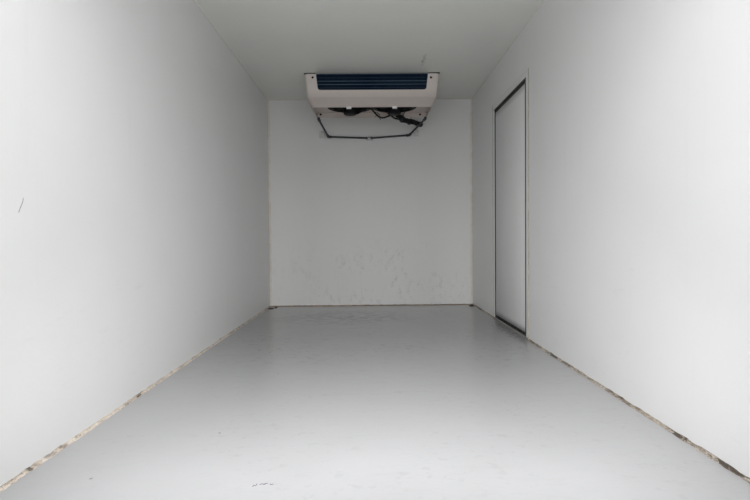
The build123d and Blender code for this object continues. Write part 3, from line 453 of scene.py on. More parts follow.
# %% Make the metal, rubber and plastic finishes
aluminium = plain_finish(
    "aluminium", (172, 174, 176), (204, 205, 206), 0.36, 140, 0.0002, (1, 0.03, 1), Metallic=0.85
)
steel = plain_finish(
    "steel", (168, 169, 170), (206, 206, 205), 0.34, 260, 0.0002, (1, 1, 0.04), Metallic=0.9
)
rubber = plain_finish(
    "rubber", (22, 22, 23), (38, 38, 39), 0.6, 300, 0.0003, Specular_IOR_Level=0.3
)
buffer_rubber = plain_finish("buffer_rubber", (28, 28, 28), (58, 57, 55), 0.72, 160, 0.0008)
hose_rubber = plain_finish("hose_rubber", (42, 43, 46), (68, 69, 72), 0.5, 240, 0.0002)
foam = plain_finish("foam", (20, 20, 21), (36, 36, 37), 0.85, 420, 0.001)
dirt = plain_finish("dirt", (52, 45, 39), (86, 76, 66), 0.8, 160, 0.001)
milky = plain_finish(
    "milky", (186, 186, 182), (220, 220, 216), 0.3, 90, 0.0004, Coat_Weight=0.6
)
fitting = plain_finish("fitting", (238, 239, 238), (246, 246, 245), 0.34, 90, 0.0002)
dark_plastic = plain_finish(
    "dark_plastic", (13, 13, 15), (25, 25, 28), 0.55, 260, 0.0003, Specular_IOR_Level=0.2
)
tape = plain_finish(
    "tape", (8, 8, 10), (20, 20, 23), 0.5, 120, 0.0006, (3, 1, 1), Specular_IOR_Level=0.2
)
unit_plastic = plain_finish("unit_plastic", (218, 209, 203), (228, 220, 214), 0.42, 330, 0.0003)
# Painted shade: the unit's plastic grows darker towards its lower edge, over the chamfer.
painted_shade_low_on_unit = unit_plastic.between(unit_plastic.z, 2.32, 2.19)
unit_plastic.stain(painted_shade_low_on_unit * 0.55, (180, 168, 161))
unit_white = plain_finish("unit_white", (222, 223, 222), (234, 234, 232), 0.32, 120, 0.0003)
threshold_grey = plain_finish(
    "threshold_grey", (124, 122, 118), (150, 148, 143), 0.5, 90, 0.0003
)
fins = plain_finish(
    "fins", (8, 34, 62), (18, 50, 82), 0.5, 200, 0.0002, Specular_IOR_Level=0.22
)
# Painted highlight and painted shade: a lighter and a darker copy of one tube finish.
highlit_tube_finish = plain_finish("coil_tubes", (74, 100, 122), (96, 122, 144), 0.4, 120, 0.0001)
shaded_tube_finish = plain_finish("coil_deep_tubes", (30, 58, 84), (44, 72, 98), 0.45, 120, 0.0001)
print("small finishes", [material.name for material in bpy.data.materials][-16:])

# %% Make the galvanised finish, the lamps' lenses, the door's pan and the ink
galvanised = Finish("galvanised")
spangle = galvanised.spots(46).beside("Color")
shade = galvanised.node("ShaderNodeSeparateXYZ", None, {0: spangle})
dull = galvanised.between(galvanised.noise(5, detail=5), 0.35, 0.7)
zinc = galvanised.mix(shade * 0.6 + dull * 0.4, colour(134, 137, 139), colour(176, 178, 178))
galvanised.set(Base_Color=zinc, Metallic=0.7, Roughness=shade * 0.14 + dull * 0.1 + 0.4)
galvanised.bump(galvanised.noise(120, detail=2), 0.0003)

LENS_RED = colour(168, 16, 18)
LENS_AMBER = colour(226, 116, 14)
LENS_CLEAR = (222, 224, 226)
lens = Finish("lens")
lens.set(Base_Color=lens.mix(lens.y < -2.2, LENS_AMBER, LENS_RED), Roughness=0.16)
lens.stain(lens.y > 2.0, LENS_CLEAR)
ribs = lens.node("ShaderNodeTexWave", {"bands_direction": "DIAGONAL"}, {0: lens.place, 1: 160})
lens.set(Coat_Weight=0.6, Coat_Roughness=0.06).bump(ribs, 0.0008)

pan_white = panel_finish("pan_white", lambda f: f.x > 1.5)
# The pan grows darker towards its foot, and painted shadow from the recess darkens a band under its
# head.
pan_foot = pan_white.between(pan_white.z, 0.4, 0.342) * 0.8
pan_head_shadow = pan_white.between(pan_white.z, 1.985, 2.05) * 0.4
pan_white.stain(pan_foot + pan_head_shadow, (78, 77, 75))

ink = Finish("ink")
ink.set(Base_Color=ink.mix(ink.noise(90), colour(34, 36, 48), colour(66, 68, 82)), Roughness=0.6)
ink.stain(ink.z > FLOOR_TOP + 0.1, (154, 155, 158))
print("lenses are red behind, amber at the sides and clear in front")

# %% Dress the CAD nodes
dress = {
    wall_skin: ["left_wall", "right_wall"],
    front_skin: ["front_wall"],
    roof_skin: ["roof_panel"],
    floor_skin: ["floor_panel"],
    floor_bead: ["floor_sealant"],
    galvanised: ["bearers", "cross_members", "mounting_brackets"],
    aluminium: ["roof_rails", "front_corner_posts", "side_rails"],
    unit_white: ["roof_corner_caps", "side_door_frame", "condenser_housing"],
    steel: ["rear_frame", "hinge_brackets", "evaporator_hangers"],
    buffer_rubber: ["rubber_buffers"],
    lens: ["marker_lamps"],
    unit_plastic: ["evaporator_housing"],
    fins: ["evaporator_coil", "condenser_coil"],
    dark_plastic: [],
    foam: ["refrigerant_pipes"],
    hose_rubber: ["drain_tubes"],
    fitting: ["drain_fittings"],
    tape: ["fan_wiring"],
}
for unit in ("evaporator", "condenser"):
    dress[dark_plastic] += [f"{unit}_motors", f"{unit}_fan_left", f"{unit}_fan_right"]
door_finishes = {"leaf": unit_white, "seal": rubber, "straps": steel, "lock": steel}
for door in ("side_door", "rear_door_left", "rear_door_right"):
    for part, finish in door_finishes.items():
        dress.setdefault(finish, []).append(f"{door}_{part}")
for finish, names in dress.items():
    for name in names:
        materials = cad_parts[name].data.materials
        materials.clear()
        materials.append(finish.material)
print("nodes dressed", sum(len(names) for names in dress.values()), "of", len(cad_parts))

# %% [markdown]
# ## Ways to make a piece
#
# Small parts are made in three ways. A bmesh helper adds blocks with rounded edges and turned
# shapes. A smooth NURBS line with a round bevel makes hoses and wires. And a recipe of geometry
# nodes, with named inputs for its sizes, repeats a small shape over many places: rivets, bolts,
# fins, guard wires. The result of a recipe is turned into a plain mesh, because the kept model
# has no instances.


# %% Turn a mesh into a piece
CREASE = radians(32)


def as_piece(name, mesh, finish, slot, body="body"):
    """Makes a piece of a mesh, with its finish and the body it rides on. Its slot is not used."""
    mesh.shade_smooth()
    mesh.set_sharp_from_angle(angle=CREASE)
    mesh.materials.clear()
    mesh.materials.append(finish.material)
    piece = bpy.data.objects.new(name, mesh)
    scene.collection.objects.link(piece)
    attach(piece, body)
    return piece


def from_bmesh(name, shape, finish, slot, body="body"):
    """Makes a piece of a bmesh, its normals pointing out."""
    bmesh.ops.recalc_face_normals(shape, faces=shape.faces)
    mesh = bpy.data.meshes.new(name)
    shape.to_mesh(mesh)
    shape.free()
    return as_piece(name, mesh, finish, slot, body)


def plain_mesh(maker):
    """The mesh that an object shows with its modifiers, after which the object is removed."""
    scene.collection.objects.link(maker)
    evaluated = maker.evaluated_get(bpy.context.evaluated_depsgraph_get())
    mesh = bpy.data.meshes.new_from_object(evaluated)
    bpy.data.objects.remove(maker)
    return mesh


print("pieces turn sharp at", round(CREASE, 3), "radians")


# %% Add blocks, turned shapes and blobs to a bmesh
def slab(shape, low, high, edge=0.002, steps=2, turn=None):
    """Adds a block between two corners, its edges rounded. Turn rotates it about its middle."""
    low, high = Vector(low), Vector(high)
    size = Matrix.Diagonal((*(high - low), 1))
    place = Matrix.Translation((low + high) / 2)
    turned_place = place @ turn.to_4x4() if turn else place
    made = bmesh.ops.create_cube(shape, size=1, matrix=turned_place @ size)
    edges = list({e for v in made["verts"] for e in v.link_edges})
    bmesh.ops.bevel(shape, geom=edges, offset=edge, segments=steps, profile=0.5, affect="EDGES")


def blocks(name, finish, slot, boxes, body="body"):
    """A piece of rounded blocks, each given by its corners, edge and steps."""
    shape = bmesh.new()
    for box in boxes:
        slab(shape, *box)
    return from_bmesh(name, shape, finish, slot, body)


def loft(shape, rings):
    """Adds the wall that runs from each ring of vertices to the next."""
    for lower, upper in zip(rings, rings[1:]):
        for here, vert in enumerate(lower):
            there = (here + 1) % len(lower)
            shape.faces.new((vert, lower[there], upper[there], upper[here]))


def around(steps):
    """Evenly spaced angles of a full turn."""
    return [2 * pi * step / steps for step in range(steps)]


def turned(shape, outline, place, axis, steps=24):
    """Adds a closed shape turned about an axis, from (radius, height) pairs, lowest first."""
    turn = Vector(axis).to_track_quat("Z", "Y").to_matrix().to_4x4()
    matrix = Matrix.Translation(place) @ turn
    rings = [
        [shape.verts.new(matrix @ Vector((r * cos(a), r * sin(a), h))) for a in around(steps)]
        for r, h in outline
    ]
    loft(shape, rings)
    shape.faces.new(list(reversed(rings[0])))
    shape.faces.new(rings[-1])


def blob(shape, place, size, radius=1, around_steps=20, up_steps=12):
    """Adds a ball at a place, stretched by a size along each axis."""
    matrix = Matrix.Translation(place) @ Matrix.Diagonal((*size, 1))
    bmesh.ops.create_uvsphere(
        shape, u_segments=around_steps, v_segments=up_steps, radius=radius, matrix=matrix
    )


print("block, loft and blob tools ready")


# %% Draw a smooth line and a tube along it
def smooth_line(name, routes):
    """A curve object with one smooth line through the neighbourhood of each route's points."""
    line = bpy.data.curves.new(name, "CURVE")
    line.dimensions = "3D"
    line.resolution_u = 10
    for route in routes:
        spline = line.splines.new("NURBS")
        spline.points.add(len(route) - 1)
        for point, place in zip(spline.points, route):
            point.co = (*place, 1)
        spline.order_u = 3
        spline.use_endpoint_u = True
    return bpy.data.objects.new(name, line)


def tube(name, routes, radius, finish, slot):
    """Round tubes along smooth routes, closed at their ends."""
    line = smooth_line(name, routes)
    line.data.bevel_depth = radius
    line.data.bevel_resolution = 3
    line.data.use_fill_caps = True
    mesh = plain_mesh(line)
    print(name, len(mesh.polygons), "faces")
    return as_piece(name, mesh, finish, slot)


print("line and tube tools ready")

# %% Describe a recipe of geometry nodes
FASTENER_NORMAL = "facing"


class Recipe(Graph):
    """A geometry node tree with named inputs."""

    def __init__(self, name, **defaults):
        super().__init__(bpy.data.node_groups.new(name, "GeometryNodeTree"))
        face = self.tree.interface
        kinds = {int: "NodeSocketInt", float: "NodeSocketFloat"}
        self.names = {}
        for way in ("INPUT", "OUTPUT"):
            face.new_socket("Geometry", in_out=way, socket_type="NodeSocketGeometry")
        for label, default in defaults.items():
            words = label.replace("_", " ")
            socket = face.new_socket(words, in_out="INPUT", socket_type=kinds[type(default)])
            socket.default_value = default
            self.names[label] = socket.identifier
        finish = face.new_socket("Finish", in_out="INPUT", socket_type="NodeSocketMaterial")
        self.names["finish"] = finish.identifier
        self.inlet = self.tree.nodes.new("NodeGroupInput")
        self.outlet = self.tree.nodes.new("NodeGroupOutput")

    def given(self, label):
        """One of the tree's own inputs."""
        return Signal(self, self.inlet.outputs[label])

    def end(self, geometry):
        """Makes instances real, sets the finish and closes the tree."""
        real = self.node("GeometryNodeRealizeInstances", None, {0: geometry})
        values = {"Geometry": real, "Material": self.given("Finish")}
        self.fill(self.outlet.inputs[0], self.node("GeometryNodeSetMaterial", None, values))

    def make(self, name, source, finish, slot, body="body", **sizes):
        """Runs the tree on an object and makes a piece of what comes out."""
        modifier = source.modifiers.new("recipe", "NODES")
        modifier.node_group = self.tree
        modifier[self.names["finish"]] = finish.material
        for label, value in sizes.items():
            modifier[self.names[label]] = value
        mesh = plain_mesh(source)
        print(name, len(mesh.polygons), "faces")
        return as_piece(name, mesh, finish, slot, body)


print("recipe tool ready")

# %% The fastener recipe: one turned head at every point, facing where the point says
fastener = Recipe(
    "fastener", Radius=0.006, Height=0.003, Sides=12, Shoulder=0.8, Crown=0.5,
    Washer_radius=0.007, Washer_height=0.001,
)


def raised(recipe, mesh, faces, height, scale):
    """Lifts faces by a height and scales them. Returns the mesh and the lifted faces."""
    values = {"Mesh": mesh, "Selection": faces, "Offset Scale": height, "Individual": False}
    lifted = recipe.node("GeometryNodeExtrudeMesh", None, values, take="Mesh")
    top = lifted.beside("Top")
    values = {"Geometry": lifted, "Selection": top, "Scale": scale}
    return recipe.node("GeometryNodeScaleElements", None, values), top


def cylinder(recipe, vertices, radius, depth):
    """A cylinder whose sizes may be the tree's own inputs."""
    values = {"Vertices": vertices, "Radius": recipe.given(radius), "Depth": recipe.given(depth)}
    return recipe.node("GeometryNodeMeshCylinder", None, values, take="Mesh")


head = cylinder(fastener, fastener.given("Sides"), "Radius", "Height")
head_top = head.beside("Top")
for share, narrowing in ((0.35, "Shoulder"), (0.15, "Crown")):
    lift = fastener.given("Height") * share
    head, head_top = raised(fastener, head, head_top, lift, fastener.given(narrowing))
washer = cylinder(fastener, 16, "Washer radius", "Washer height")
both = fastener.node("GeometryNodeJoinGeometry", None, {0: washer})
fastener.fill(both.socket.node.inputs[0], head)
facing = fastener.node(
    "GeometryNodeInputNamedAttribute", {"data_type": "FLOAT_VECTOR"}, {"Name": FASTENER_NORMAL}
)
aim = fastener.node("FunctionNodeAlignRotationToVector", {"axis": "Z"}, {"Vector": facing})
spread = {"Points": fastener.given("Geometry"), "Instance": both, "Rotation": aim}
fastener.end(fastener.node("GeometryNodeInstanceOnPoints", None, spread))


def places(name, spots):
    """An object with one point for each (place, direction) pair, the direction kept on it."""
    mesh = bpy.data.meshes.new(name)
    mesh.from_pydata([place for place, way in spots], [], [])
    kept = mesh.attributes.new(FASTENER_NORMAL, "FLOAT_VECTOR", "POINT")
    for item, (place, way) in zip(kept.data, spots):
        item.vector = way
    return bpy.data.objects.new(name, mesh)


def rivets(name, spots, radius, body="body", finish=steel, slot="hardware_steel"):
    """Domed heads, as rivets and screws have."""
    sizes = {"Radius": radius, "Height": radius * 0.6, "Shoulder": 0.82, "Crown": 0.55}
    sizes.update(Washer_radius=radius * 1.12, Washer_height=radius * 0.16)
    return fastener.make(name, places(name, spots), finish, slot, body, **sizes)


def bolts(name, spots, radius, body="body", finish=steel, slot="hardware_steel"):
    """Hexagon heads on washers."""
    sizes = {"Radius": radius, "Height": radius * 1.1, "Sides": 6, "Shoulder": 1.0, "Crown": 0.86}
    sizes.update(Washer_radius=radius * 1.35, Washer_height=radius * 0.3)
    return fastener.make(name, places(name, spots), finish, slot, body, **sizes)


print("fastener recipe has", len(fastener.tree.nodes), "nodes")

# %% The slat recipe: one thin plate repeated at a pitch
slats = Recipe("slats", Count=10, Pitch=0.01, Wide=0.001, Deep=0.05, High=0.05)
edges = {axis: slats.given(label) for axis, label in enumerate(("Wide", "Deep", "High"))}
size = slats.node("ShaderNodeCombineXYZ", None, edges)
step = slats.node("ShaderNodeCombineXYZ", None, {0: slats.given("Pitch")})
line = slats.node(
    "GeometryNodeMeshLine",
    {"mode": "OFFSET", "count_mode": "TOTAL"},
    {"Count": slats.given("Count"), "Offset": step},
)
plate = slats.node("GeometryNodeMeshCube", None, {"Size": size})
first = slats.node("GeometryNodeInstanceOnPoints", None, {"Points": line, "Instance": plate})
spread = {"Points": slats.given("Geometry"), "Instance": first}
slats.end(slats.node("GeometryNodeInstanceOnPoints", None, spread))
print("slat recipe has", len(slats.tree.nodes), "nodes")

# %% The wire recipe: a round wire along every edge of a mesh
wire = Recipe("wire", Radius=0.0015, Sides=8)


def swept(recipe, curve, resolution):
    """A round wire along a curve, closed at its ends. Its radius is the tree's own input."""
    ring = {"Resolution": resolution, "Radius": recipe.given("Radius")}
    profile = recipe.node("GeometryNodeCurvePrimitiveCircle", None, ring)
    values = {"Curve": curve, "Profile Curve": profile, "Fill Caps": True}
    return recipe.node("GeometryNodeCurveToMesh", None, values)


wire_line = wire.node("GeometryNodeMeshToCurve", None, {0: wire.given("Geometry")})
wire.end(swept(wire, wire_line, wire.given("Sides")))


def edges_object(name, loops):
    """An object of edges along each list of points. A loop that ends where it starts is closed."""
    shape = bmesh.new()
    for loop in loops:
        closed = (Vector(loop[0]) - Vector(loop[-1])).length < 1e-6
        verts = [shape.verts.new(point) for point in (loop[:-1] if closed else loop)]
        ends = verts[1:] + ([verts[0]] if closed else [])
        for start, end in zip(verts, ends):
            shape.edges.new((start, end))
    mesh = bpy.data.meshes.new(name)
    shape.to_mesh(mesh)
    shape.free()
    return bpy.data.objects.new(name, mesh)


def circle(middle, radius, first, second, steps=40):
    """The points of a closed circle on the plane of two directions."""
    middle, first, second = Vector(middle), Vector(first), Vector(second)
    turns = around(steps) + [0]
    return [middle + (first * cos(a) + second * sin(a)) * radius for a in turns]


print("wire recipe has", len(wire.tree.nodes), "nodes")

# %% [markdown]
# ## Sealant in the corners
#
# Where two panels meet, a worker runs a bead of sealant into the corner and smooths it with a
# finger, so it is a hollow fillet of uneven width. Each bead here is a strip of rings along the
# corner, and a seeded random size widens or narrows each ring a little.

# %% Run the beads
random.seed(7)
BEAD_OUTLINE = ((0, 0), (1, 0), (0.52, 0.16), (0.28, 0.28), (0.16, 0.52), (0, 1))


def bead(shape, start, end, first, second, size, step_length=0.05, ragged=0.1):
    """Adds a hollow fillet along a corner, between the surfaces that first and second lie in."""
    start, end = Vector(start), Vector(end)
    first, second = Vector(first), Vector(second)
    count = ceil((end - start).length / step_length)
    rings = []
    for step in range(count + 1):
        corner = start.lerp(end, step / count)
        wide, high = (size * random.uniform(1 - ragged, 1 + ragged) for edge in range(2))
        spots = [corner + first * a * wide + second * b * high for a, b in BEAD_OUTLINE]
        rings.append([shape.verts.new(spot) for spot in spots])
    loft(shape, rings)
    shape.faces.new(rings[0])
    shape.faces.new(list(reversed(rings[-1])))


def beads(name, finish, lines):
    """A piece of beads, each given by its ends, its two surfaces, its size and its raggedness."""
    shape = bmesh.new()
    for values in lines:
        bead(shape, *values)
    return from_bmesh(name, shape, finish, "sealant")


REAR_END = FRAME_FRONT + 0.002
CORNER_SIZE = 0.024
CEILING_SIZE = 0.006
corner_lines = []
for side in SIDES:
    top = (side * HALF_INNER, FRONT_INNER, CEILING)
    foot = (side * HALF_INNER, FRONT_INNER, FLOOR_TOP + 0.008)
    rear = (side * HALF_INNER, REAR_END, CEILING)
    corner_lines.append((foot, top, (-side, 0, 0), BACK, CORNER_SIZE))
    corner_lines.append((rear, top, (-side, 0, 0), DOWN, CEILING_SIZE))
left_top = (-HALF_INNER, FRONT_INNER, CEILING)
corner_lines.append((left_top, (HALF_INNER, FRONT_INNER, CEILING), BACK, DOWN, CEILING_SIZE))
beads("corner_sealant", corner_bead, corner_lines)

DOOR_FRAME_Y = (0.153, 1.108)
DOOR_FRAME_TOP = 2.122
DOOR_SIDE_SIZE = 0.006
DOOR_HEAD_SIZE = 0.004
heads = [(HALF_INNER, y, DOOR_FRAME_TOP) for y in DOOR_FRAME_Y]
door_lines = [
    ((HALF_INNER, y, FLOOR_TOP), head, (0, way, 0), LEFT, DOOR_SIDE_SIZE)
    for y, head, way in zip(DOOR_FRAME_Y, heads, SIDES)
]
door_lines.append((*heads, UP, LEFT, DOOR_HEAD_SIZE))
beads("door_sealant", door_bead, door_lines)
print("corner beads", len(corner_lines), "door beads", len(door_lines))

# %% Run the beads at the walls' feet and drop the lumps of dirt
FOOT_BEAD = 0.0102
FRONT_FOOT_BEAD = 0.0085
FOOT_STEP = 0.024
SIDE_RAGGED = 0.24
FRONT_RAGGED = 0.2
foot_lines = [
    ((side * HALF_INNER, rear, FLOOR_TOP), (side * HALF_INNER, front, FLOOR_TOP),
     (-side, 0, 0), UP, FOOT_BEAD, FOOT_STEP, SIDE_RAGGED)
    for side, rear, front in (
        (-1, REAR_END, FRONT_INNER),
        (1, REAR_END, DOOR_FRAME_Y[0]),
        (1, DOOR_FRAME_Y[1], FRONT_INNER),
    )
]
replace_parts(beads("wall_foot_sealant", floor_bead, foot_lines), "floor_sealant")
front_ends = [(side * HALF_INNER, FRONT_INNER, FLOOR_TOP) for side in SIDES]
front_line = (*front_ends, BACK, UP, FRONT_FOOT_BEAD, FOOT_STEP, FRONT_RAGGED)
beads("front_foot_sealant", foot_bead, [front_line])

DIRT_LUMPS = ((271.2, 308.6, 0.030), (276, 307.6, 0.014), (471.4, 305.8, 0.026),
              (474.6, 304.9, 0.014))
lumps = bmesh.new()
for column, line, wide in DIRT_LUMPS:
    place = seen_at(column, line, Z, FLOOR_TOP + 0.003)
    place.y = min(place.y, FRONT_INNER - 0.03)
    place.x = min(max(place.x, -HALF_INNER + 0.02), HALF_INNER - 0.02)
    matrix = Matrix.Translation(place) @ Matrix.Diagonal((wide, 0.024, 0.007, 1))
    bmesh.ops.create_icosphere(lumps, subdivisions=3, radius=1, matrix=matrix)
from_bmesh("dirt_lumps", lumps, dirt, "sealant")
print("foot beads", len(foot_lines) + 1, "lumps of dirt", len(DIRT_LUMPS))

# %% [markdown]
# ## The evaporator coil
#
# Behind the window is a block of thin aluminium fins, coated dark blue against rust, with rows of
# tubes through them. Seen from the doorway the fins melt into one dark field. Two rows of tubes
# have a lighter finish, a painted highlight, and the other rows a darker copy, a painted shade.
# The slat recipe stands the fins at 4 mm. A plate a little way behind the tubes keeps the gaps
# between the fins dark.

# %% Make the coil
UNIT_X = 0.018
UNIT_REAR = 1.157
UNIT_FRONT = 1.605
UNDERSIDE = 2.153
COIL_Y = (1.173, 1.243)
COIL_Z = (2.278, 2.428)
COIL_HALF = 0.52
FIN_PITCH = 0.004
FIN_THICK = 0.0006
TUBE_RADIUS = 0.0032
TOP_TUBE = 2.4206
TUBE_PITCH = 0.0284
TUBE_ROWS = [TOP_TUBE - TUBE_PITCH * number for number in range(5)]
HIGHLIT_ROWS = TUBE_ROWS[2:4]
SHADED_ROWS = [*TUBE_ROWS[:2], TUBE_ROWS[4]]


def fin_block(name, middle, half_width, y_range, z_range):
    """A block of upright fins across the body."""
    count = int(2 * half_width / FIN_PITCH)
    start = (middle - (count - 1) * FIN_PITCH / 2, sum(y_range) / 2, sum(z_range) / 2)
    deep, high = y_range[1] - y_range[0], z_range[1] - z_range[0]
    sizes = {"Count": count, "Pitch": FIN_PITCH, "Wide": FIN_THICK, "Deep": deep, "High": high}
    return slats.make(name, places(name, [(start, UP)]), fins, "coil_fins", **sizes)


def coil_tubes(name, ends, depth, levels, finish):
    """Straight tubes across a coil, one at each level."""
    across = (ends[0], sum(ends) / 2, ends[1])
    routes = [[(x, depth, level) for x in across] for level in levels]
    tube(name, routes, TUBE_RADIUS, finish, "coil_fins")


coil = fin_block("evaporator_fins", UNIT_X, COIL_HALF - 0.004, COIL_Y, COIL_Z)
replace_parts(coil, "evaporator_coil")
left, right = UNIT_X - COIL_HALF + 0.006, UNIT_X + COIL_HALF - 0.006
near, far = COIL_Y
low, high = COIL_Z
coil_tubes("coil_tubes", (left, right), near, HIGHLIT_ROWS, highlit_tube_finish)
coil_tubes("coil_deep_tubes", (left, right), near + 0.001, SHADED_ROWS, shaded_tube_finish)
blocks("coil_frame", dark_plastic, "coil_fins", [
    ((left - 0.001, near - 0.002, low), (left + 0.001, far, high), 0.0005, 1),
    ((right - 0.001, near - 0.002, low), (right + 0.001, far, high), 0.0005, 1),
    ((left, near, low - 0.003), (right, far, low), 0.0008, 1),
    ((left, far - 0.002, low), (right, far, high), 0.0005, 1),
])
blocks("coil_back", fins, "coil_fins", [
    ((left, near + 0.014, low), (right, near + 0.0155, high), 0.0005, 1),
])

# %% [markdown]
# ## Small parts of the evaporator unit
#
# White clips hold the fan plate's front edge under the chamfer, and dark screws hold the ears and
# the far edge. A dark strip of foam on each ear, under the ceiling, stands as painted shade for
# the shadowed gap there. The motors hang under the fans in wire guards.

# %% Clip the fan plate, screw the unit up and lay dark strips of painted shade on its ears
FAN_X = (-0.183, 0.219)
FAN_Y = 1.415
CLIP_COLUMNS = (348.9, 394.7)
CLIP_HALF = 0.0215
TONGUE_HALF = 0.012
clips = []
for column in CLIP_COLUMNS:
    x = seen_at(column, 107.8, Y, 1.226).x
    clips.append(((x - CLIP_HALF, 1.2205, 2.143), (x + CLIP_HALF, 1.2265, 2.168), 0.0015))
    clips.append(((x - CLIP_HALF, 1.2255, 2.143), (x + CLIP_HALF, 1.252, 2.149), 0.0015))
    clips.append(((x - TONGUE_HALF, 1.2475, 2.146), (x + TONGUE_HALF, 1.252, 2.196), 0.001))
blocks("plate_clips", fitting, "fitting_plastic", clips)

ear_screws = [(seen_at(column, 77.4, Y, UNIT_REAR), (0, -1, 0.1)) for column in (312.6, 431)]
far_face = UNIT_FRONT - 0.0045
far_screws = [(seen_at(column, 114.5, Y, far_face), BACK) for column in (320.7, 420)]
rivets("unit_screws", ear_screws + far_screws, 0.009, finish=dark_plastic)
side_screws = [
    ((UNIT_X + side * 0.578, y, 2.40), (side, 0, 0.1)) for side in SIDES for y in (1.25, 1.5)
]
rivets("unit_side_screws", side_screws, 0.0055)

# Dark foam strips on the ears stand as painted shade for the gap between each ear and the ceiling.
ears = [sorted((UNIT_X + side * 0.487, UNIT_X + side * 0.584)) for side in SIDES]
blocks("ear_foam_shade_strips", dark_plastic, "wire_tape", [
    ((ear[0], UNIT_REAR - 0.001, CEILING - 0.0085), (ear[1], UNIT_REAR + 0.03, CEILING - 0.0005))
    for ear in ears
])
print("unit screws", len(ear_screws + far_screws + side_screws))

# %% Make a fan guard and its motor
EVAPORATOR_MOTOR = (
    (0.040, 0.0), (0.052, 0.003), (0.059, 0.009), (0.062, 0.018), (0.062, 0.052),
    (0.059, 0.055), (0.059, 0.060), (0.050, 0.064), (0.030, 0.066), (0.030, 0.0725),
)
GUARD_LEVEL = 2.1945


def motor_cans(unit, feet, axis, outline, steps):
    """Turned motor cans, which stand for a unit's motors."""
    cans = bmesh.new()
    for foot in feet:
        turned(cans, outline, foot, axis, steps)
    piece = from_bmesh(f"{unit}_motor_cans", cans, dark_plastic, "dark_plastic")
    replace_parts(piece, f"{unit}_motors")


def fan_guards(unit, middles, second, radii, spokes, thick):
    """Wire guards across X and a second direction: circles about a middle, and spokes."""
    first, second = Vector(RIGHT), Vector(second)
    lines = []
    for middle in middles:
        lines += [circle(middle, radius, first, second) for radius in radii]
        for number in range(spokes):
            angle = 2 * pi * (number + 0.5) / spokes
            way = first * cos(angle) + second * sin(angle)
            ends = (radii[0] * 0.8, radii[-1] + 0.009)
            lines.append([Vector(middle) + way * end for end in ends])
    source = edges_object(f"{unit}_guard_lines", lines)
    wire.make(f"{unit}_guards", source, dark_plastic, "dark_plastic", Radius=thick, Sides=6)


feet = [(x, FAN_Y, UNDERSIDE - 0.022) for x in FAN_X]
motor_cans("evaporator", feet, UP, EVAPORATOR_MOTOR, 40)
middles = [(x, FAN_Y, GUARD_LEVEL) for x in FAN_X]
fan_guards("evaporator", middles, FORWARD, [0.068 + 0.012 * n for n in range(10)], 6, 0.0016)

# %% Ring the fans
SHROUD = (
    (0.1757, 0.1757, 2.200), (0.1757, 0.1757, 2.262), (0.1700, 0.1700, 2.262),
    (0.0500, 0.0500, 2.263), (0.0500, 0.0500, 2.2655), (0.1735, 0.1735, 2.2655),
    (0.1759, 0.1759, 2.2655),
)
FLANGE = (
    (0.177, 0.177, 2.1990), (0.177, 0.177, 2.1955), (0.202, 0.180, 2.1955),
    (0.205, 0.182, 2.1970), (0.205, 0.182, 2.1990),
)
shrouds = bmesh.new()
for outline in (SHROUD, FLANGE):
    for x in FAN_X:
        rings = [
            [shrouds.verts.new((x + wide * cos(a), FAN_Y + deep * sin(a), z)) for a in around(48)]
            for wide, deep, z in outline
        ]
        loft(shrouds, rings + rings[:1])
from_bmesh("fan_shrouds", shrouds, dark_plastic, "dark_plastic")
print("fan rings", len(FAN_X))

# %% [markdown]
# ## Wiring
#
# Both fan motors are fed from the right. The left motor's lead crosses under the plate, is tied to
# the right motor's, and together they run into a thick taped loom that drops into the front wall
# through a rubber grommet. Tape is wound with a lap, so the loom's radius steps along its length.
# A recipe does that: it divides the smooth line, and swells each stretch between two laps.

# %% The taped loom
taped = Recipe("taped loom", Radius=0.02, Lap=0.016, Swell=0.08, Bulge=0.2)
stretch = {"Curve": taped.given("Geometry"), "Length": taped.given("Lap") * 0.25}
divided = taped.node("GeometryNodeResampleCurve", {"mode": "LENGTH"}, stretch)
along = taped.node("GeometryNodeSplineParameter", take="Length")
share = along.beside("Factor")
lap_share = (along / taped.given("Lap")).through("FRACT")
bulge = (share * pi).through("SINE") * taped.given("Bulge")
swollen = lap_share * taped.given("Swell") + bulge + 0.9
shaped = taped.node("GeometryNodeSetCurveRadius", None, {"Curve": divided, "Radius": swollen})
taped.end(swept(taped, shaped, 18))

MOTOR_RADIUS = 0.062
WIRING_Z = UNDERSIDE - 0.011
LOOM_RADIUS = 0.021


def bent_route(start, end, bends, unit):
    """Points from start to end. A bend is a share of the way and offsets from the line, in units."""
    start, end = Vector(start), Vector(end)
    middle = [start.lerp(end, share) + Vector(offset) * unit for share, *offset in bends]
    return [start, *middle, end]


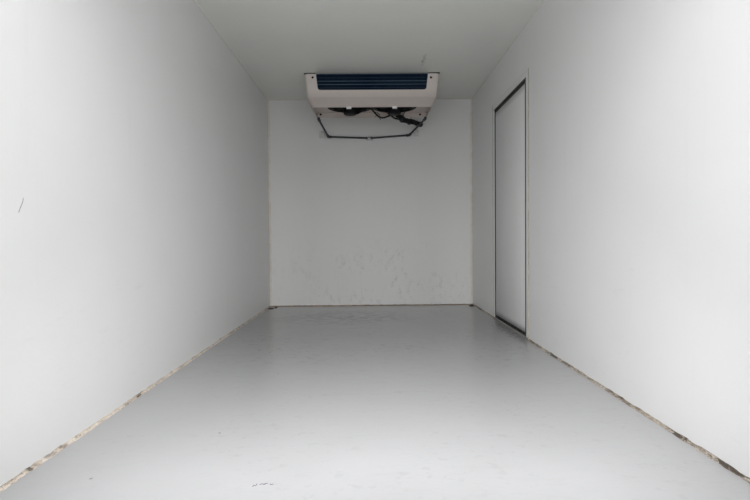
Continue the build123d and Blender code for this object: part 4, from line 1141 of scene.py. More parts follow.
loom_start = (FAN_X[1] + MOTOR_RADIUS / 2, FAN_Y + 0.9 * MOTOR_RADIUS, WIRING_Z)
loom_end = (0.516, FRONT_INNER - 0.008, CEILING - 0.258)
LOOM_BENDS = (
    (0.18, -0.8, 0, -1.1), (0.42, -0.6, 0, -1.0), (0.65, 0, 0, -0.6), (0.86, 0.3, 0, -0.2),
)
BESIDE_LOOM = (
    ((0.12, -1.9, -1.2, 0.5), (0.3, -0.2, -1.4, 0.4), (0.5, -1.2, -1.5, -2.6),
     (0.72, 0.9, -1.3, -2.2), (0.88, 0.2, -1.1, -1.5)),
    ((0.12, 0.6, -1.2, -2.6), (0.34, -2.0, -1.5, -2.4), (0.55, 0.2, -1.5, 0.5),
     (0.78, 0.8, -1.1, 0.2), (0.9, 0.6, -0.8, 0)),
    ((0.2, -1.4, -1.6, -2.4), (0.42, 0.4, -1.9, 0.2), (0.62, -1.1, -1.8, -2.2),
     (0.84, 1.0, -1.2, -0.4)),
    ((0.2, 0.8, -1.6, 0.6), (0.4, -1.6, -1.9, -1.6), (0.6, 0.8, -1.6, -0.6),
     (0.84, -0.6, -1.2, -1.8)),
)
loom_route = bent_route(loom_start, loom_end, LOOM_BENDS, LOOM_RADIUS)
loom = taped.make(
    "wiring_loom", smooth_line("loom_line", [loom_route]), tape, "wire_tape",
    Radius=LOOM_RADIUS * 0.93, Swell=0.06, Bulge=0.4,
)
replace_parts(loom, "fan_wiring")
beside = [bent_route(loom_start, loom_end, bends, LOOM_RADIUS * 0.62) for bends in BESIDE_LOOM]
tube("loom_cables", beside, 0.0075, tape, "wire_tape")
print("loom runs from", [round(v, 3) for v in loom_start], "to", [round(v, 3) for v in loom_end])

# %% The leads between the motors
LEAD_RADIUS = 0.005
LEAD_BENDS = (
    (0.15, 0, -8, 3.5), (0.3, 0, -20, 6), (0.43, 0, -25, 4),
    (0.58, 0, -24, -7), (0.72, 0, -19, -11), (0.88, 0, -8, -6),
)
RIGHT_LOOP = (
    (0.285, 1.40, 2.19), (0.31, 1.36, 2.176), (0.318, 1.38, 2.15), (0.298, 1.43, 2.13),
    (0.283, 1.5, 2.118),
)
SHORT_LEAD = ((0.19, 1.455, 2.14), (0.215, 1.50, 2.122), (0.262, 1.53, 2.12), (0.29, 1.56, 2.122))
STUBS = (
    ((0.06, 1.33, 2.134), (0.072, 1.322, 2.118), (0.09, 1.318, 2.108)),
    ((0.05, 1.335, 2.14), (0.048, 1.326, 2.122), (0.056, 1.32, 2.11)),
)
lead_start = (FAN_X[0] + MOTOR_RADIUS, FAN_Y, WIRING_Z)
lead_end = (FAN_X[1] - MOTOR_RADIUS / 2, FAN_Y + 0.8 * MOTOR_RADIUS, WIRING_Z)
left_lead = bent_route(lead_start, lead_end, LEAD_BENDS, LEAD_RADIUS)
tube("fan_leads", [left_lead, SHORT_LEAD], LEAD_RADIUS * 1.5, tape, "wire_tape")
tube("lead_ends", STUBS, LEAD_RADIUS * 0.7, tape, "wire_tape")
tube("thin_leads", [RIGHT_LOOP], 0.003, tape, "wire_tape")


# %% Tie the leads and seat the grommet
def drawn_line(route):
    """The points of the smooth line that a route gives."""
    return [vert.co.copy() for vert in plain_mesh(smooth_line("measured", [route])).vertices]


def tie(shape, line, share, radius, tail):
    """Adds a cable tie round a smooth line at a share of its way, with its cut tail."""
    number = int(share * (len(line) - 1))
    place = line[number]
    axis = (line[number + 1] - place).normalized()
    outer = radius + 0.002
    outline = ((radius, -0.0025), (outer, -0.0025), (outer, 0.0025), (radius, 0.0025))
    turned(shape, outline, place, axis, 16)
    way = Vector(tail)
    middle = place + way / 2
    half = Vector((0.0035, 0.0016, way.length / 2))
    slab(shape, middle - half, middle + half, 0.0004, 1, way.to_track_quat("Z", "Y").to_matrix())


ties = bmesh.new()
lead_line = drawn_line(left_lead)
loom_line = drawn_line(loom_route)
for line, share, radius, tail in (
    (lead_line, 0.66, LEAD_RADIUS * 1.5, (0.016, -0.012, -0.034)),
    (lead_line, 0.6, LEAD_RADIUS * 1.5, (-0.02, -0.01, -0.024)),
    (loom_line, 0.22, LOOM_RADIUS * 1.15, (0.014, -0.012, 0.05)),
    (loom_line, 0.5, LOOM_RADIUS * 1.28, (0.02, -0.02, 0.045)),
    (loom_line, 0.8, LOOM_RADIUS * 1.13, (0.006, -0.01, -0.055)),
):
    tie(ties, line, share, radius, tail)
from_bmesh("cable_ties", ties, dark_plastic, "wire_tape")

GROMMET = ((0.028, 0), (0.028, 0.003), (0.026, 0.006), (0.023, 0.008), (0.0205, 0.0085))
grommet = bmesh.new()
turned(grommet, GROMMET, (loom_end[X], FRONT_INNER, loom_end[Z]), BACK, 28)
from_bmesh("wall_grommet", grommet, rubber, "wire_tape")
print("ties on a lead of", len(lead_line), "points and a loom of", len(loom_line))

# %% [markdown]
# ## The drain
#
# Melt water leaves through a spigot at each far corner of the unit. Dark rubber tubes slope down
# to two elbows and meet in a tee, held off the front wall by milky plastic clips. Each elbow is a
# short sleeve over two tube ends, so it is thicker and has a rim at each mouth.

# %% Make the drain's sleeves
SLEEVE_RADIUS = 0.0132
SLEEVE = (
    (SLEEVE_RADIUS, 0), (SLEEVE_RADIUS, 0.022), (0.0148, 0.023), (0.0148, 0.029),
    (SLEEVE_RADIUS, 0.031), (0.0105, 0.032),
)
DRAIN_Y = FRONT_INNER - 0.024
SPIGOT_HALF = 0.506
left_spigot, right_spigot = (
    Vector((UNIT_X + side * SPIGOT_HALF, UNIT_FRONT - 0.016, UNDERSIDE - 0.016)) for side in SIDES
)
left_elbow = Vector((-0.428, DRAIN_Y, CEILING - 0.384))
tee = Vector((-0.008, DRAIN_Y, CEILING - 0.401))
right_elbow = Vector((0.400, DRAIN_Y, CEILING - 0.373))
drain = (left_spigot, left_elbow, tee, right_elbow, right_spigot)

sleeves = bmesh.new()
for start, end in zip(drain, drain[1:]):
    turned(sleeves, SLEEVE, start, end - start, 20)
    turned(sleeves, SLEEVE, end, start - end, 20)
for place in drain:
    blob(sleeves, place, (1, 1, 1), SLEEVE_RADIUS)
for place in (left_spigot, right_spigot):
    turned(sleeves, ((SLEEVE_RADIUS, 0), (SLEEVE_RADIUS, 0.0155)), place, UP, 20)
sleeve_piece = from_bmesh("drain_sleeves", sleeves, hose_rubber, "hose_rubber")
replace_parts(sleeve_piece, "drain_fittings")
print("drain sleeves", 2 * (len(drain) - 1))

# %% Clip the drain to the front wall
DRAIN_CLIPS = (
    (322.2, 134.2, 0.034, 0.036), (369.4, 138.6, 0.036, 0.018), (416.2, 132.6, 0.026, 0.034)
)
hose_clips = []
clip_highlight_caps = []
for column, line, wide, high in DRAIN_CLIPS:
    place = seen_at(column, line, Y, DRAIN_Y)
    x, z = place.x, place.z
    hose_clips += [
        ((x - wide, FRONT_INNER - 0.004, z - high), (x + wide, FRONT_INNER, z + high), 0.0019),
        ((x - wide * 0.8, FRONT_INNER - 0.030, z - high * 0.75),
         (x + wide * 0.8, FRONT_INNER - 0.003, z + high * 0.8), 0.011, 3),
        ((x - wide * 0.5, FRONT_INNER - 0.038, z - high * 0.4),
         (x + wide * 0.35, FRONT_INNER - 0.028, z + high * 0.5), 0.004),
    ]
    # A white cap at each clip's upper left also stands as a painted highlight on the clip's rim.
    clip_highlight_caps.append(((x - wide * 0.55, FRONT_INNER - 0.030, z + high * 0.45), BACK))
blocks("drain_clips", milky, "fitting_plastic", hose_clips)
rivets("drain_clip_highlight_caps", clip_highlight_caps, 0.009, finish=fitting, slot="fitting_plastic")
print("drain clips", len(clip_highlight_caps))

# %% [markdown]
# ## Marks that people left
#
# There is a short pen stroke on the left wall and a scribble on the floor near the doorway. They
# are lines of ink, so they are made as very thin strips that lie on the surface, with no relief
# to speak of. A mark in the finish would need far more nodes.

# %% Draw the pen marks
INK_RADIUS = 0.003
INK_SUNK = 0.0025
WALL_PATH = ((17.8, 212.6), (19.2, 208.4), (20.8, 204.6), (22.0, 201.4), (22.5, 198))
FLOOR_PATHS = (
    ((252.5, 487.5), (254, 486), (255.5, 486.8), (257, 484.8)),
    ((259.5, 485.6), (262, 484.6), (264.5, 485.4), (267, 484.2), (263, 484.9), (268, 484)),
    ((270, 484.8), (271.5, 485.6), (273, 484.9)),
)
strokes = [[seen_at(*pixel, X, -HALF_INNER - INK_SUNK) for pixel in WALL_PATH]]
strokes += [[seen_at(*pixel, Z, FLOOR_TOP - INK_SUNK) for pixel in path] for path in FLOOR_PATHS]
pen_lines = edges_object("pen_lines", strokes)
wire.make("pen_marks", pen_lines, ink, "grp_white", Radius=INK_RADIUS, Sides=12)

# %% [markdown]
# ## The side door from inside
#
# The leaf is lined with a white pan that stands nearly flush with the wall, so all that shows of
# the gap is a thin black line. The line is a gasket round the pan and a black rubber trim round
# the doorway, which runs on over the sill in low ribs.

# %% Line the side door
pan = ((1.0515, 0.2405, 0.3475), (1.0605, 1.0345, 2.0485), 0.0015)
blocks("side_door_pan", pan_white, "grp_white", [pan], "side_door")


def ring_of_blocks(x_range, outer, inner, edge):
    """A frame across X between two rectangles, each given as low and high in Y and Z."""
    (outer_y, outer_z), (inner_y, inner_z) = outer, inner
    bars = (
        ((outer_y[0], inner_y[0]), outer_z),
        ((inner_y[1], outer_y[1]), outer_z),
        (inner_y, (outer_z[0], inner_z[0])),
        (inner_y, (inner_z[1], outer_z[1])),
    )
    return [
        ((x_range[0], y_range[0], z_range[0]), (x_range[1], y_range[1], z_range[1]), edge, 1)
        for y_range, z_range in bars
    ]


gasket = ring_of_blocks((1.0518, 1.0605), ((0.2245, 1.0425), (0.3395, 2.0565)),
                        ((0.2415, 1.0335), (0.3485, 2.0475)), 0.0006)
blocks("side_door_gasket", rubber, "seal_rubber", gasket, "side_door")
trim = ring_of_blocks((HALF_INNER - 0.0005, 1.0615), ((0.2025, 1.0585), (0.3235, 2.0725)),
                      ((0.2050, 1.0560), (0.3260, 2.0700)), 0.0008)
for number in range(9):
    rib_x = HALF_INNER + 0.016 + number * 0.008
    trim.append(((rib_x, 0.21, 0.3235), (rib_x + 0.003, 1.051, 0.3252), 0.0006, 1))
trim.append(((1.0452, 0.2025, 2.0715), (1.0476, 1.0585, 2.0805), 0.0006, 1))
blocks("side_reveal_trim", rubber, "seal_rubber", trim)
# The threshold strip's darker grey is partly painted shade at the foot of the side door.
threshold = ((1.0448, 0.156, 0.3105), (1.0476, 1.105, 0.3245), 0.0006, 1)
blocks("side_threshold", threshold_grey, "frame_steel", [threshold])
print("blocks in the side door's gap", len(gasket) + len(trim))

# %% [markdown]
# ## Rivets on the edge profiles
#
# Aluminium profiles cover the panels' edges outside. They are bonded and riveted, so a row of
# rivets at an even pitch runs along every flange. Each row is a start, an end and a direction.

# %% Rivet the profiles
SKIN = 1.134
SKIN_TOP = 2.524
FRONT_SKIN = 2.076
REAR_FACE = -2.308
ROW_REAR, ROW_FRONT = -2.19, 1.95
SILL_FRONT = 1.97
POST_Z = (0.24, 2.34)
UNDER_ROOF = 2.412
ON_ALUMINIUM = {"finish": aluminium, "slot": "rail_aluminium"}


def rows(lines, pitch=0.1):
    """Spots at an even pitch along lines, each with a start, an end and a direction."""
    spots = []
    for start, end, way in lines:
        start, end = Vector(start), Vector(end)
        steps = max(1, round((end - start).length / pitch))
        spots += [(start.lerp(end, step / steps), way) for step in range(steps + 1)]
    return spots


def both_sides(*lines):
    """Each line, and its twin on the body's left."""
    twins = []
    for line in lines:
        twins.append(line)
        twins.append(tuple((-x, y, z) for x, y, z in line))
    return twins


profile_lines = both_sides(
    ((SKIN, ROW_REAR, UNDER_ROOF), (SKIN, ROW_FRONT, UNDER_ROOF), RIGHT),
    ((SKIN, 2.026, POST_Z[0]), (SKIN, 2.026, POST_Z[1]), RIGHT),
    ((1.085, FRONT_SKIN, POST_Z[0]), (1.085, FRONT_SKIN, POST_Z[1]), FORWARD),
    ((SKIN, ROW_REAR, 0.241), (SKIN, SILL_FRONT, 0.241), RIGHT),
    ((1.095, ROW_REAR, 0.196), (1.095, SILL_FRONT, 0.196), DOWN),
)
profile_lines.append(((-1.0, FRONT_SKIN, UNDER_ROOF), (1.0, FRONT_SKIN, UNDER_ROOF), FORWARD))
rivets("profile_rivets", rows(profile_lines), 0.0055, **ON_ALUMINIUM)
top_lines = both_sides(((1.086, ROW_REAR, SKIN_TOP), (1.086, ROW_FRONT, SKIN_TOP), UP))
top_lines.append(((-1.0, 2.027, SKIN_TOP), (1.0, 2.027, SKIN_TOP), UP))
rivets("top_rivets", rows(top_lines), 0.0044, **ON_ALUMINIUM)

# %% Screw the roof's corner caps and the side door's outer flange
CAP_X, CAP_Y = 1.137, 2.079
CAP_Z = (2.39, 2.48)
cap_feet = [((CAP_X, y), RIGHT) for y in (2.00, 2.045)]
cap_feet += [((x, CAP_Y), FORWARD) for x in (1.055, 1.098)]
cap_lines = both_sides(*(((*foot, CAP_Z[0]), (*foot, CAP_Z[1]), way) for foot, way in cap_feet))
rivets("cap_rivets", rows(cap_lines, 0.045), 0.0045)

OUTER_Y = (0.147, 1.114)
OUTER_Z = (0.268, 2.128)
EDGE = 0.018
near, far = OUTER_Y[0] + EDGE, OUTER_Y[1] - EDGE
flange_lines = [
    ((SKIN, near, z), (SKIN, far, z), RIGHT) for z in (OUTER_Z[0] + 0.015, OUTER_Z[1] - EDGE)
]
flange_lines.append(((SKIN, near, 0.40), (SKIN, near, 2.03), RIGHT))
rivets("side_flange_rivets", rows(flange_lines, 0.11), 0.005)

# %% [markdown]
# ## Doors
#
# Each leaf is a white foam-cored panel edged with an aluminium profile. The seal is held by a
# riveted strip on the inner side. A face plane describes a leaf: its origin is the bottom of the
# free edge on the outer face, and lengths run along it, up it and out of it.


# %% Describe a face and build on it
class Face:
    """A leaf's outer face. Along runs from the free edge to the hinges, up is Z, out is outwards."""

    def __init__(self, origin, along, out, width, height):
        self.origin = Vector(origin)
        self.along = Vector(along)
        self.out = Vector(out)
        self.width = width
        self.height = height

    def at(self, along, up, out=0.0):
        """A place, from the distances along, up and out."""
        return self.origin + self.along * along + Vector((0, 0, up)) + self.out * out

    def slab(self, shape, along, up, out, edge=0.002, steps=2):
        """Adds a block between two distances along, up and out."""
        first, second = (self.at(*ends) for ends in zip(along, up, out))
        low = [min(pair) for pair in zip(first, second)]
        high = [max(pair) for pair in zip(first, second)]
        slab(shape, low, high, edge, steps)

    def pad(self, shape, middle, half, out, edge=0.002, steps=2):
        """Adds a block about a middle, given along and up, as are its half sizes."""
        along, up = ((place - reach, place + reach) for place, reach in zip(middle, half))
        self.slab(shape, along, up, out, edge, steps)

    def band(self, shape, inset, wide, out):
        """Adds a flat frame round the face, its outer edge in from the leaf's edge by an inset."""
        right, top = self.width - inset, self.height - inset
        for along, up in (
            ((inset, inset + wide), (inset, top)),
            ((right - wide, right), (inset, top)),
            ((inset + wide, right - wide), (inset, inset + wide)),
            ((inset + wide, right - wide), (top - wide, top)),
        ):
            self.slab(shape, along, up, out, 0.0006, 1)

    def round_line(self, inset, out, way, pitch=0.12):
        """Spots round the face at an inset from its edge."""
        right, top = self.width - inset, self.height - inset
        corners = [(inset, inset), (right, inset), (right, top), (inset, top)]
        marks = [self.at(*corner, out) for corner in corners]
        spots = []
        for start, end in zip(marks, marks[1:] + marks[:1]):
            spots += rows([(start, end, way)], pitch)[:-1]
        return spots


REAR_FOOT = 0.324
REAR_SIZE = (1.002, 2.052)
HINGE_SHARES = (0.07, 0.36, 0.65, 0.93)
faces = {
    "rear_door_right": Face((1.196, -1.22, REAR_FOOT), BACK, LEFT, *REAR_SIZE),
    "rear_door_left": Face((-1.196, -1.22, REAR_FOOT), BACK, RIGHT, *REAR_SIZE),
    "side_door": Face((1.14, 0.223, 0.338), FORWARD, RIGHT, 0.821, 1.72),
}
print("faces", {door: (face.width, face.height) for door, face in faces.items()})

# %% Edge every leaf and make the rear leaves with their seal strips
EDGING_OUT = 0.0012
LEAF_BACK = -0.08
SEAL_WIDE = 0.028
SEAL_OUT = LEAF_BACK + 0.024
LINING_OUT = LEAF_BACK + 0.004
STRIP_OUT = (LEAF_BACK + 0.0022, LEAF_BACK + 0.006)


def edge_leaf(door, face):
    """The aluminium profile round a leaf's outer face, and its rivets."""
    edging = bmesh.new()
    face.band(edging, 0.0045, 0.03, (-0.0005, EDGING_OUT))
    from_bmesh(f"{door}_edging", edging, aluminium, "rail_aluminium", door)
    spots = face.round_line(0.02, EDGING_OUT, face.out)
    rivets(f"{door}_edging_rivets", spots, 0.004, door, **ON_ALUMINIUM)


def rear_leaf(door, face):
    """A leaf with its stepped lining, the strip that holds its seal and the kick plate."""
    width, height = face.width, face.height
    leaf = bmesh.new()
    face.slab(leaf, (0, width), (0, height), (SEAL_OUT, 0), 0.003, 3)
    face.slab(leaf, (SEAL_WIDE, width - SEAL_WIDE), (SEAL_WIDE, height - SEAL_WIDE),
              (LINING_OUT, SEAL_OUT + 0.002), 0.001, 1)
    leaf_piece = from_bmesh(f"{door}_panel", leaf, wall_skin, "grp_white", door)
    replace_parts(leaf_piece, f"{door}_leaf")
    strip = bmesh.new()
    face.band(strip, SEAL_WIDE - 0.001, 0.022, STRIP_OUT)
    face.slab(strip, (0.075, width - 0.075), (0.075, 0.275), STRIP_OUT, 0.0008, 1)
    from_bmesh(f"{door}_seal_strip", strip, aluminium, "rail_aluminium", door)
    spots = face.round_line(SEAL_WIDE + 0.010, STRIP_OUT[0], -face.out)
    spots += rows([
        (face.at(0.09, up, STRIP_OUT[0]), face.at(width - 0.09, up, STRIP_OUT[0]), -face.out)
        for up in (0.09, 0.26)
    ], 0.14)
    rivets(f"{door}_seal_rivets", spots, 0.0035, door, **ON_ALUMINIUM)


for door, face in faces.items():
    edge_leaf(door, face)
    if door != "side_door":
        rear_leaf(door, face)
print("doors edged", list(faces))

# %% [markdown]
# ## Lock gear
#
# A container door is locked by upright bars. Each turns in pressed guides, and a cam at each end
# hooks behind a keeper on the frame, so turning the bar pulls the door on to its seal. The lever
# that turns it lies flat against the door in a catch. The CAD solid keeps these as plain blocks,
# so detailed pieces replace it: a turned bar, hooked cams, bolted guides and a shaped lever.

# %% Build the lock gear on each door
BAR_RADIUS = 0.0135
BAR_OUT = 0.025
COLLAR = BAR_RADIUS + 0.003
OVERRUN = 0.056
GUIDE_SHARES = (0.05, 0.42, 0.68, 0.95)
CATCH_ALONG = 0.208
LOCKS = {
    "rear_door_left": ((0.15, 0.69), 0.62),
    "rear_door_right": ((0.15, 0.69), 0.62),
    "side_door": ((0.12,), 0.70),
}


def lock_bar(gear, face, place, lever_level):
    """Adds a bar, its cams, guides and lever to a bmesh. Returns the spots of its bolts."""
    length = face.height + 2 * OVERRUN
    outline = [(BAR_RADIUS - 0.002, 0), (BAR_RADIUS, 0.002)]
    for middle in (0.046, face.height * 0.25, face.height * 0.8, length - 0.046):
        outline += [(BAR_RADIUS, middle - 0.010), (COLLAR, middle - 0.009),
                    (COLLAR, middle + 0.009), (BAR_RADIUS, middle + 0.010)]
    outline += [(BAR_RADIUS, length - 0.002), (BAR_RADIUS - 0.002, length)]
    turned(gear, outline, face.at(place, -OVERRUN, BAR_OUT), UP, 20)
    for up in (0.017 - OVERRUN, face.height + OVERRUN - 0.017):
        face.pad(gear, (place, up), (0.017, 0.013), (0.006, 0.0245), 0.004)
        face.pad(gear, (place - 0.0115, up), (0.0055, 0.009), (0.0005, 0.012))
    spots = []
    for up in [share * face.height for share in GUIDE_SHARES]:
        face.pad(gear, (place, up), (0.023, 0.019), (0, 0.004), 0.0015)
        face.pad(gear, (place, up), (0.0165, 0.013), (0.003, 0.043), 0.006, 3)
        spots += [(face.at(place + side * 0.0195, up + over * 0.0125, 0.004), face.out)
                  for side in SIDES for over in SIDES]
    catch = place + CATCH_ALONG
    face.pad(gear, (place, lever_level), (0.021, 0.024), (0.006, 0.046), 0.005, 3)
    face.pad(gear, (place + 0.08, lever_level), (0.07, 0.0125), (0.0405, 0.0475), 0.003, 3)
    face.pad(gear, (catch, lever_level), (0.013, 0.028), (0, 0.004), 0.0015)
    for over in SIDES:
        cheek = lever_level + over * 0.018
        face.pad(gear, (catch, cheek), (0.010, 0.003), (0.003, 0.0475), 0.0015)
        spots.append((face.at(catch, lever_level + over * 0.024, 0.004), face.out))
    face.pad(gear, (catch, lever_level), (0.007, 0.018), (0.026, 0.034))
    return spots


def lever_grip(grips, face, place, lever_level):
    """Adds the lever's ribbed rubber grip."""
    middle = (place + 0.20225, lever_level)
    face.pad(grips, middle, (0.05725, 0.013), (0.0385, 0.048), 0.0045, 3)
    for number in range(8):
        rib = (place + 0.223 + number * 0.0045, lever_level)
        face.pad(grips, rib, (0.001, 0.0133), (0.0382, 0.0483), 0.0006, 1)


for door, (bar_places, lever_level) in LOCKS.items():
    gear = bmesh.new()
    grips = bmesh.new()
    spots = []
    for place in bar_places:
        spots += lock_bar(gear, faces[door], place, lever_level)
        lever_grip(grips, faces[door], place, lever_level)
    gear_piece = from_bmesh(f"{door}_lock_gear", gear, steel, "hardware_steel", door)
    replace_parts(gear_piece, f"{door}_lock")
    from_bmesh(f"{door}_lever_grips", grips, rubber, "seal_rubber", door)
    bolts(f"{door}_guide_bolts", spots, 0.0026, door)
print("locks on", list(LOCKS))

# %% Bolt the hinge straps, the fixed hinge halves and the keepers
REAR_ALONGS = (0.868, 0.915, 0.962)
STRAPS = {
    "rear_door_left": (REAR_ALONGS, HINGE_SHARES),
    "rear_door_right": (REAR_ALONGS, HINGE_SHARES),
    "side_door": ((0.645, 0.70, 0.755), (0.1, 0.5, 0.9)),
}
for door, ((first, middle, last), shares) in STRAPS.items():
    face = faces[door]
    pattern = [(first, -1), (first, 1), (middle, 0), (last, -1), (last, 1)]
    spots = [
        (face.at(along, share * face.height + over * 0.014, 0.006), face.out)
        for share in shares for along, over in pattern
    ]
    bolts(f"{door}_strap_bolts", spots, 0.0055, door)

HINGE_X = 1.14
HINGE_Y = (-2.285, -2.24)
KEEPER_X = (0.164, 0.704)
KEEPER_Z = (0.285, 2.415)
hinge_spots = [
    ((side * HINGE_X, y, REAR_FOOT + share * REAR_SIZE[1] + over * 0.036), (side, 0, 0))
    for side in SIDES for share in HINGE_SHARES for y in HINGE_Y for over in SIDES
]
bolts("hinge_bolts", hinge_spots, 0.006)
keeper_spots = [
    ((side * (place + cheek * 0.05), REAR_FACE, level + over * 0.01), BACK)
    for side in SIDES for place in KEEPER_X for cheek in SIDES
    for level in KEEPER_Z for over in SIDES
]
rivets("keeper_rivets", keeper_spots, 0.005)

# %% [markdown]
# ## The rear frame and its sill
#
# The rear frame is folded stainless steel, welded at its corners. The sill takes the pallet
# trucks, so it has a ribbed tread and thick ribbed rubber buffers. Round rubber stops take the
# doors when they are folded back.

# %% Make the sill's tread and the frame's welds
tread_foot = (-1.028, REAR_FACE + 0.004, 0.3095)
tread = [(tread_foot, (1.028, FRAME_FRONT + 0.012, 0.3112), 0.0007, 1)]
for number in range(10):
    rib_y = REAR_FACE + 0.008 + number * 0.0095
    tread.append(((-1.024, rib_y, 0.3105), (1.024, rib_y + 0.004, 0.3128), 0.0009, 1))
blocks("sill_tread", aluminium, "rail_aluminium", tread)

WELD_STEPS = 22
WELD_RADIUS = 0.0035
welds = bmesh.new()
for side in SIDES:
    for level, tip in ((0.31, 0.124), (2.39, 2.51)):
        inner = Vector((side * 1.03, REAR_FACE, level))
        outer = Vector((side * 1.128, REAR_FACE, tip))
        for number in range(WELD_STEPS):
            spot = inner.lerp(outer, (number + 0.5) / WELD_STEPS)
            blob(welds, spot, (1, 0.35, 1), WELD_RADIUS, 8, 6)
from_bmesh("frame_welds", welds, steel, "frame_steel")
print("tread ribs", len(tread) - 1, "weld runs", 4)

# %% Make the buffers and the stops
BUFFER_FACE = -2.398
BUFFER_X = 0.7
BUFFER_HALF = 0.065
STOP = (
    (0.0200, 0), (0.0220, 0.003), (0.0220, 0.012), (0.0190, 0.016),
    (0.0190, 0.046), (0.0215, 0.050), (0.0215, 0.056), (0.0195, 0.0598),
)
rubber_set = bmesh.new()
for side in SIDES:
    low_x, high_x = side * BUFFER_X - BUFFER_HALF, side * BUFFER_X + BUFFER_HALF
    slab(rubber_set, (low_x, BUFFER_FACE + 0.012, 0.12), (high_x, REAR_FACE, 0.24), 0.008, 3)
    for number in range(5):
        rib_z = 0.127 + number * 0.023
        slab(rubber_set, (low_x + 0.002, BUFFER_FACE, rib_z),
             (high_x - 0.002, BUFFER_FACE + 0.02, rib_z + 0.014), 0.005, 3)
    for share in (0.22, 0.8):
        place = (side * 1.13, -1.285, REAR_FOOT + share * REAR_SIZE[1])
        turned(rubber_set, STOP, place, (side, 0, 0), 28)
buffers = from_bmesh("buffers_and_stops", rubber_set, buffer_rubber, "buffer_rubber")
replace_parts(buffers, "rubber_buffers")
print("buffers and stops made")

# %% [markdown]
# ## Lamps
#
# Each marker lamp sits on a rubber base and is held by two screws through its lens.

# %% Seat the lamps
LAMP_HALF = 0.055
LAMP_ROUND = 0.017
END_STEPS = 12
SCREW_ALONG = 0.034
SCREW_OUT = 0.0222


def lamp_base(shape, middle, along, out):
    """Adds a flat rounded base that shows as a rim round a lamp's foot."""
    middle, along, up, out = (Vector(v) for v in (middle, along, UP, out))
    rings = []
    for grow, lift in ((0.004, -0.001), (0.004, 0.003), (0.001, 0.005), (-0.006, 0.005)):
        radius = LAMP_ROUND + grow
        ring = []
        for end in SIDES:
            for step in range(END_STEPS + 1):
                angle = pi * step / END_STEPS - end * pi / 2
                spot = along * (end * (LAMP_HALF - LAMP_ROUND) + cos(angle) * radius)
                ring.append(shape.verts.new(middle + spot + up * sin(angle) * radius + out * lift))
        rings.append(ring)
    loft(shape, rings)
    shape.faces.new(rings[0])
    shape.faces.new(list(reversed(rings[-1])))


bases = bmesh.new()
lamp_screws = []
for side in SIDES:
    for middle, along, out in (
        ((side * 1.0, 2.072, 2.336), RIGHT, FORWARD),
        ((side * 1.02, REAR_FACE, 2.474), RIGHT, BACK),
        ((side * 1.13, -0.153, 0.294), FORWARD, (side, 0, 0)),
        ((side * 1.13, -0.853, 0.294), FORWARD, (side, 0, 0)),
    ):
        lamp_base(bases, middle, along, out)
        for end in SIDES:
            spot = Vector(middle) + Vector(along) * end * SCREW_ALONG + Vector(out) * SCREW_OUT
            lamp_screws.append((spot, out))
from_bmesh("lamp_bases", bases, rubber, "seal_rubber")
rivets("lamp_screws", lamp_screws, 0.003)

# %% [markdown]
# ## The condenser on the nose
#
# The condenser has the same fans as the evaporator behind finer wire guards. Its coil shows
# through them. A riveted flange seals it to the front wall, screws hold its cover, and pressed
# hoods stand under the louvres.

# %% Dress the condenser's fans and coil
CONDENSER_Z = 2.15
CONDENSER_FRONT = 2.392
CONDENSER_FANS = (-0.27, 0.27)
CONDENSER_COIL_Y = (2.122, 2.182)
CONDENSER_COIL_Z = (CONDENSER_Z - 0.196, CONDENSER_Z + 0.196)
CONDENSER_MOTOR = (
    (0.036, 0.0), (0.050, 0.002), (0.055, 0.007), (0.055, 0.022), (0.051, 0.025), (0.030, 0.0295),
)
feet = [(x, CONDENSER_FRONT + 0.006, CONDENSER_Z) for x in CONDENSER_FANS]
motor_cans("condenser", feet, BACK, CONDENSER_MOTOR, 36)
middles = [(x, CONDENSER_FRONT + 0.003, CONDENSER_Z) for x in CONDENSER_FANS]
fan_guards("condenser", middles, UP, [0.062 + 0.0118 * n for n in range(10)], 8, 0.0017)

condenser_fins = fin_block("condenser_fins", 0.0, 0.594, CONDENSER_COIL_Y, CONDENSER_COIL_Z)
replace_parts(condenser_fins, "condenser_coil")
levels = [CONDENSER_COIL_Z[0] + 0.014 + 0.0254 * number for number in range(15)]
tube_y = CONDENSER_COIL_Y[1] - 0.002
coil_tubes("condenser_tubes", (-0.592, 0.592), tube_y, levels, highlit_tube_finish)

# %% Fix the condenser's flange and cover, and hood its louvres
FLANGE_Y = (2.072, 2.0745)
flange_bars = (
    (-0.632, -0.599, 1.878, 2.422),
    (0.599, 0.632, 1.878, 2.422),
    (-0.6, 0.6, 1.878, 1.911),
    (-0.6, 0.6, 2.389, 2.3925),
)
blocks("condenser_flange", unit_white, "unit_white", [
    ((left, FLANGE_Y[0], low), (right, FLANGE_Y[1], high), 0.001, 1)
    for left, right, low, high in flange_bars
])
flange_lines = [
    ((x, FLANGE_Y[1], 1.90), (x, FLANGE_Y[1], 2.37), FORWARD) for x in (-0.616, 0.616)
]
flange_lines.append(((-0.57, FLANGE_Y[1], 1.894), (0.57, FLANGE_Y[1], 1.894), FORWARD))
rivets("condenser_flange_rivets", rows(flange_lines), 0.0045)
cover_lines = [
    ((side * 0.6, y, 1.96), (side * 0.6, y, 2.34), (side, 0, 0))
    for y in (2.11, 2.285) for side in SIDES
]
cover_lines += [
    ((-0.54, y, z), (0.54, y, z), way)
    for y in (2.092, 2.29) for z, way in ((1.91, DOWN), (2.39, UP))
]
rivets("cover_screws", rows(cover_lines, 0.18), 0.005)

HOOD_LEAN = Matrix.Rotation(radians(28), 3, "Y")
blocks("louvre_hoods", unit_white, "unit_white", [
    ((x - 0.0006, 2.105, 1.899), (x + 0.0006, 2.269, 1.915), 0.0004, 1, HOOD_LEAN)
    for x in [(number - 4) * 0.092 for number in range(9)]
])

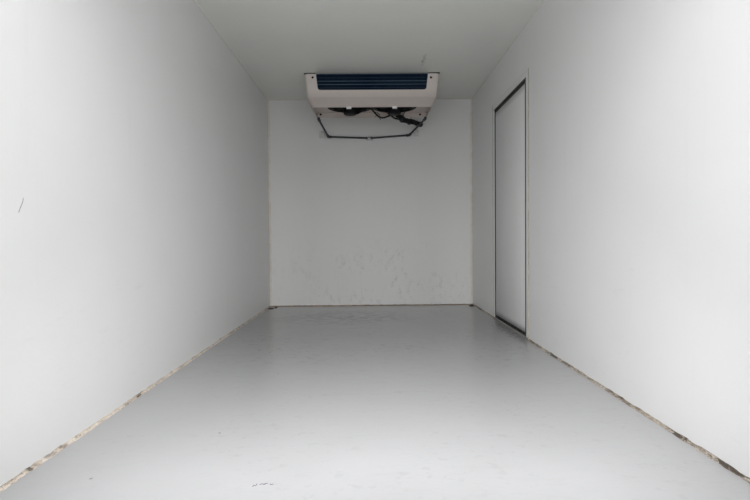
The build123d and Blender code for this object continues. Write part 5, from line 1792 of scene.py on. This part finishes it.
# %% [markdown]
# ## The underframe
#
# Bearers and cross members are welded, and the mounting brackets are bolted to the bearers. Each
# bearer has a plate welded across its ends.

# %% Bolt the brackets, close the bearers and weld the cross members
BRACKET_Y = (-1.714, -0.118, 1.478)
MEMBERS_Y = [-2.178 + number * 0.412 for number in range(11)]
MEMBER_WELD = (1.6, 0.7, 0.6)
bracket_spots = [
    ((side * 0.385, y + along, z), (side, 0, 0))
    for y in BRACKET_Y for side in SIDES for along in (-0.045, 0.045) for z in (0.045, 0.09)
]
bolts("bracket_bolts", bracket_spots, 0.009, finish=galvanised, slot="underframe_steel")
bearer_sides = [sorted((side * 0.3265, side * 0.3685)) for side in SIDES]
blocks("bearer_ends", galvanised, "underframe_steel", [
    ((low_x, y, 0.0065), (high_x, y + 0.003, 0.1135), 0.001, 1)
    for low_x, high_x in bearer_sides for y in (-2.2675, 2.0285)
])
member_welds = bmesh.new()
for side in SIDES:
    for y in MEMBERS_Y:
        for edge in (-0.02, 0.02):
            for x in (0.326, 0.374):
                blob(member_welds, (side * x, y + edge, 0.12), MEMBER_WELD, 0.006, 10, 6)
from_bmesh("underframe_welds", member_welds, galvanised, "underframe_steel")
print("bracket bolts", len(bracket_spots))

# %% [markdown]
# ## The studio
#
# A pale floor, a pale sky of even light, and one large soft lamp above. The inside of the box is
# lit as it was in the photograph, by daylight through the open rear doorway. A lamp behind the
# doorway stands for the sky, and three soft lamps in it for the light that the ground sends in.
# They face forward, can't be seen or reflected, and hardly reach the outside.

# %% Set up the world and the floor
scene.view_settings.view_transform = "Standard"
SKY_LEVEL = 0.72
PALE = colour(236, 238, 240)

world = bpy.data.worlds.new("studio")
scene.world = world
world.use_nodes = True
sky = Graph(world.node_tree)
world.node_tree.nodes.clear()
camera_ray = sky.node("ShaderNodeLightPath", take="Is Camera Ray")
seen = camera_ray + camera_ray.beside("Is Glossy Ray") + camera_ray.beside("Is Transmission Ray")
light = sky.node("ShaderNodeBackground", None, {"Color": (1, 1, 1, 1), "Strength": SKY_LEVEL})
shown = sky.node("ShaderNodeBackground", None, {"Color": PALE, "Strength": 1.0})
mixed = sky.node("ShaderNodeMixShader", None, {0: seen.clamped(), 1: light, 2: shown})
sky.node("ShaderNodeOutputWorld", None, {"Surface": mixed})

bpy.ops.mesh.primitive_plane_add(size=60, location=(0, 0, 0))
ground = bpy.context.object
ground.name = "ground"
pale_floor = Finish("ground")
cloudy = pale_floor.noise(0.6, detail=2)
pale_floor.set(Base_Color=pale_floor.mix(cloudy, colour(226, 228, 230), colour(232, 234, 236)))
pale_floor.set(Roughness=0.7)
ground.data.materials.append(pale_floor.material)
print("sky", SKY_LEVEL, "and a floor of", pale_floor.material.name)


# %% Hang the lamps
def soft_lamp(name, place, facing, size, power, spread=180):
    """A rectangular lamp that lights but isn't seen or reflected. Spread is in degrees."""
    data = bpy.data.lights.new(name, "AREA")
    data.shape = "RECTANGLE"
    data.size, data.size_y = size
    data.energy = power
    data.spread = radians(spread)
    lamp = bpy.data.objects.new(name, data)
    scene.collection.objects.link(lamp)
    lamp.location = place
    lamp.rotation_mode = "QUATERNION"
    lamp.rotation_quaternion = Vector(facing).to_track_quat("-Z", "Y")
    lamp.visible_camera = False
    lamp.visible_glossy = False


soft_lamp("overhead", (-2.5, -3.0, 7.0), (0.35, 0.4, -1.0), (6, 6), 140)
soft_lamp("sky_behind", (-0.7, -7, 4.5), (0, 1, -0.6), (5, 3), 129)
soft_lamp("doorway", (0, -2.3, 1.35), (0, 1, 0), (2.06, 2.08), 9.5)
soft_lamp("doorway_low", (0, FRAME_FRONT + 0.05, 0.8), (0, 1, -0.5), (1.5, 0.35), 6.6, 100)
soft_lamp("doorway_high", (0, FRAME_FRONT + 0.1, 2.28), (0, 1, -1.7), (1.5, 0.25), 8.9, 120)
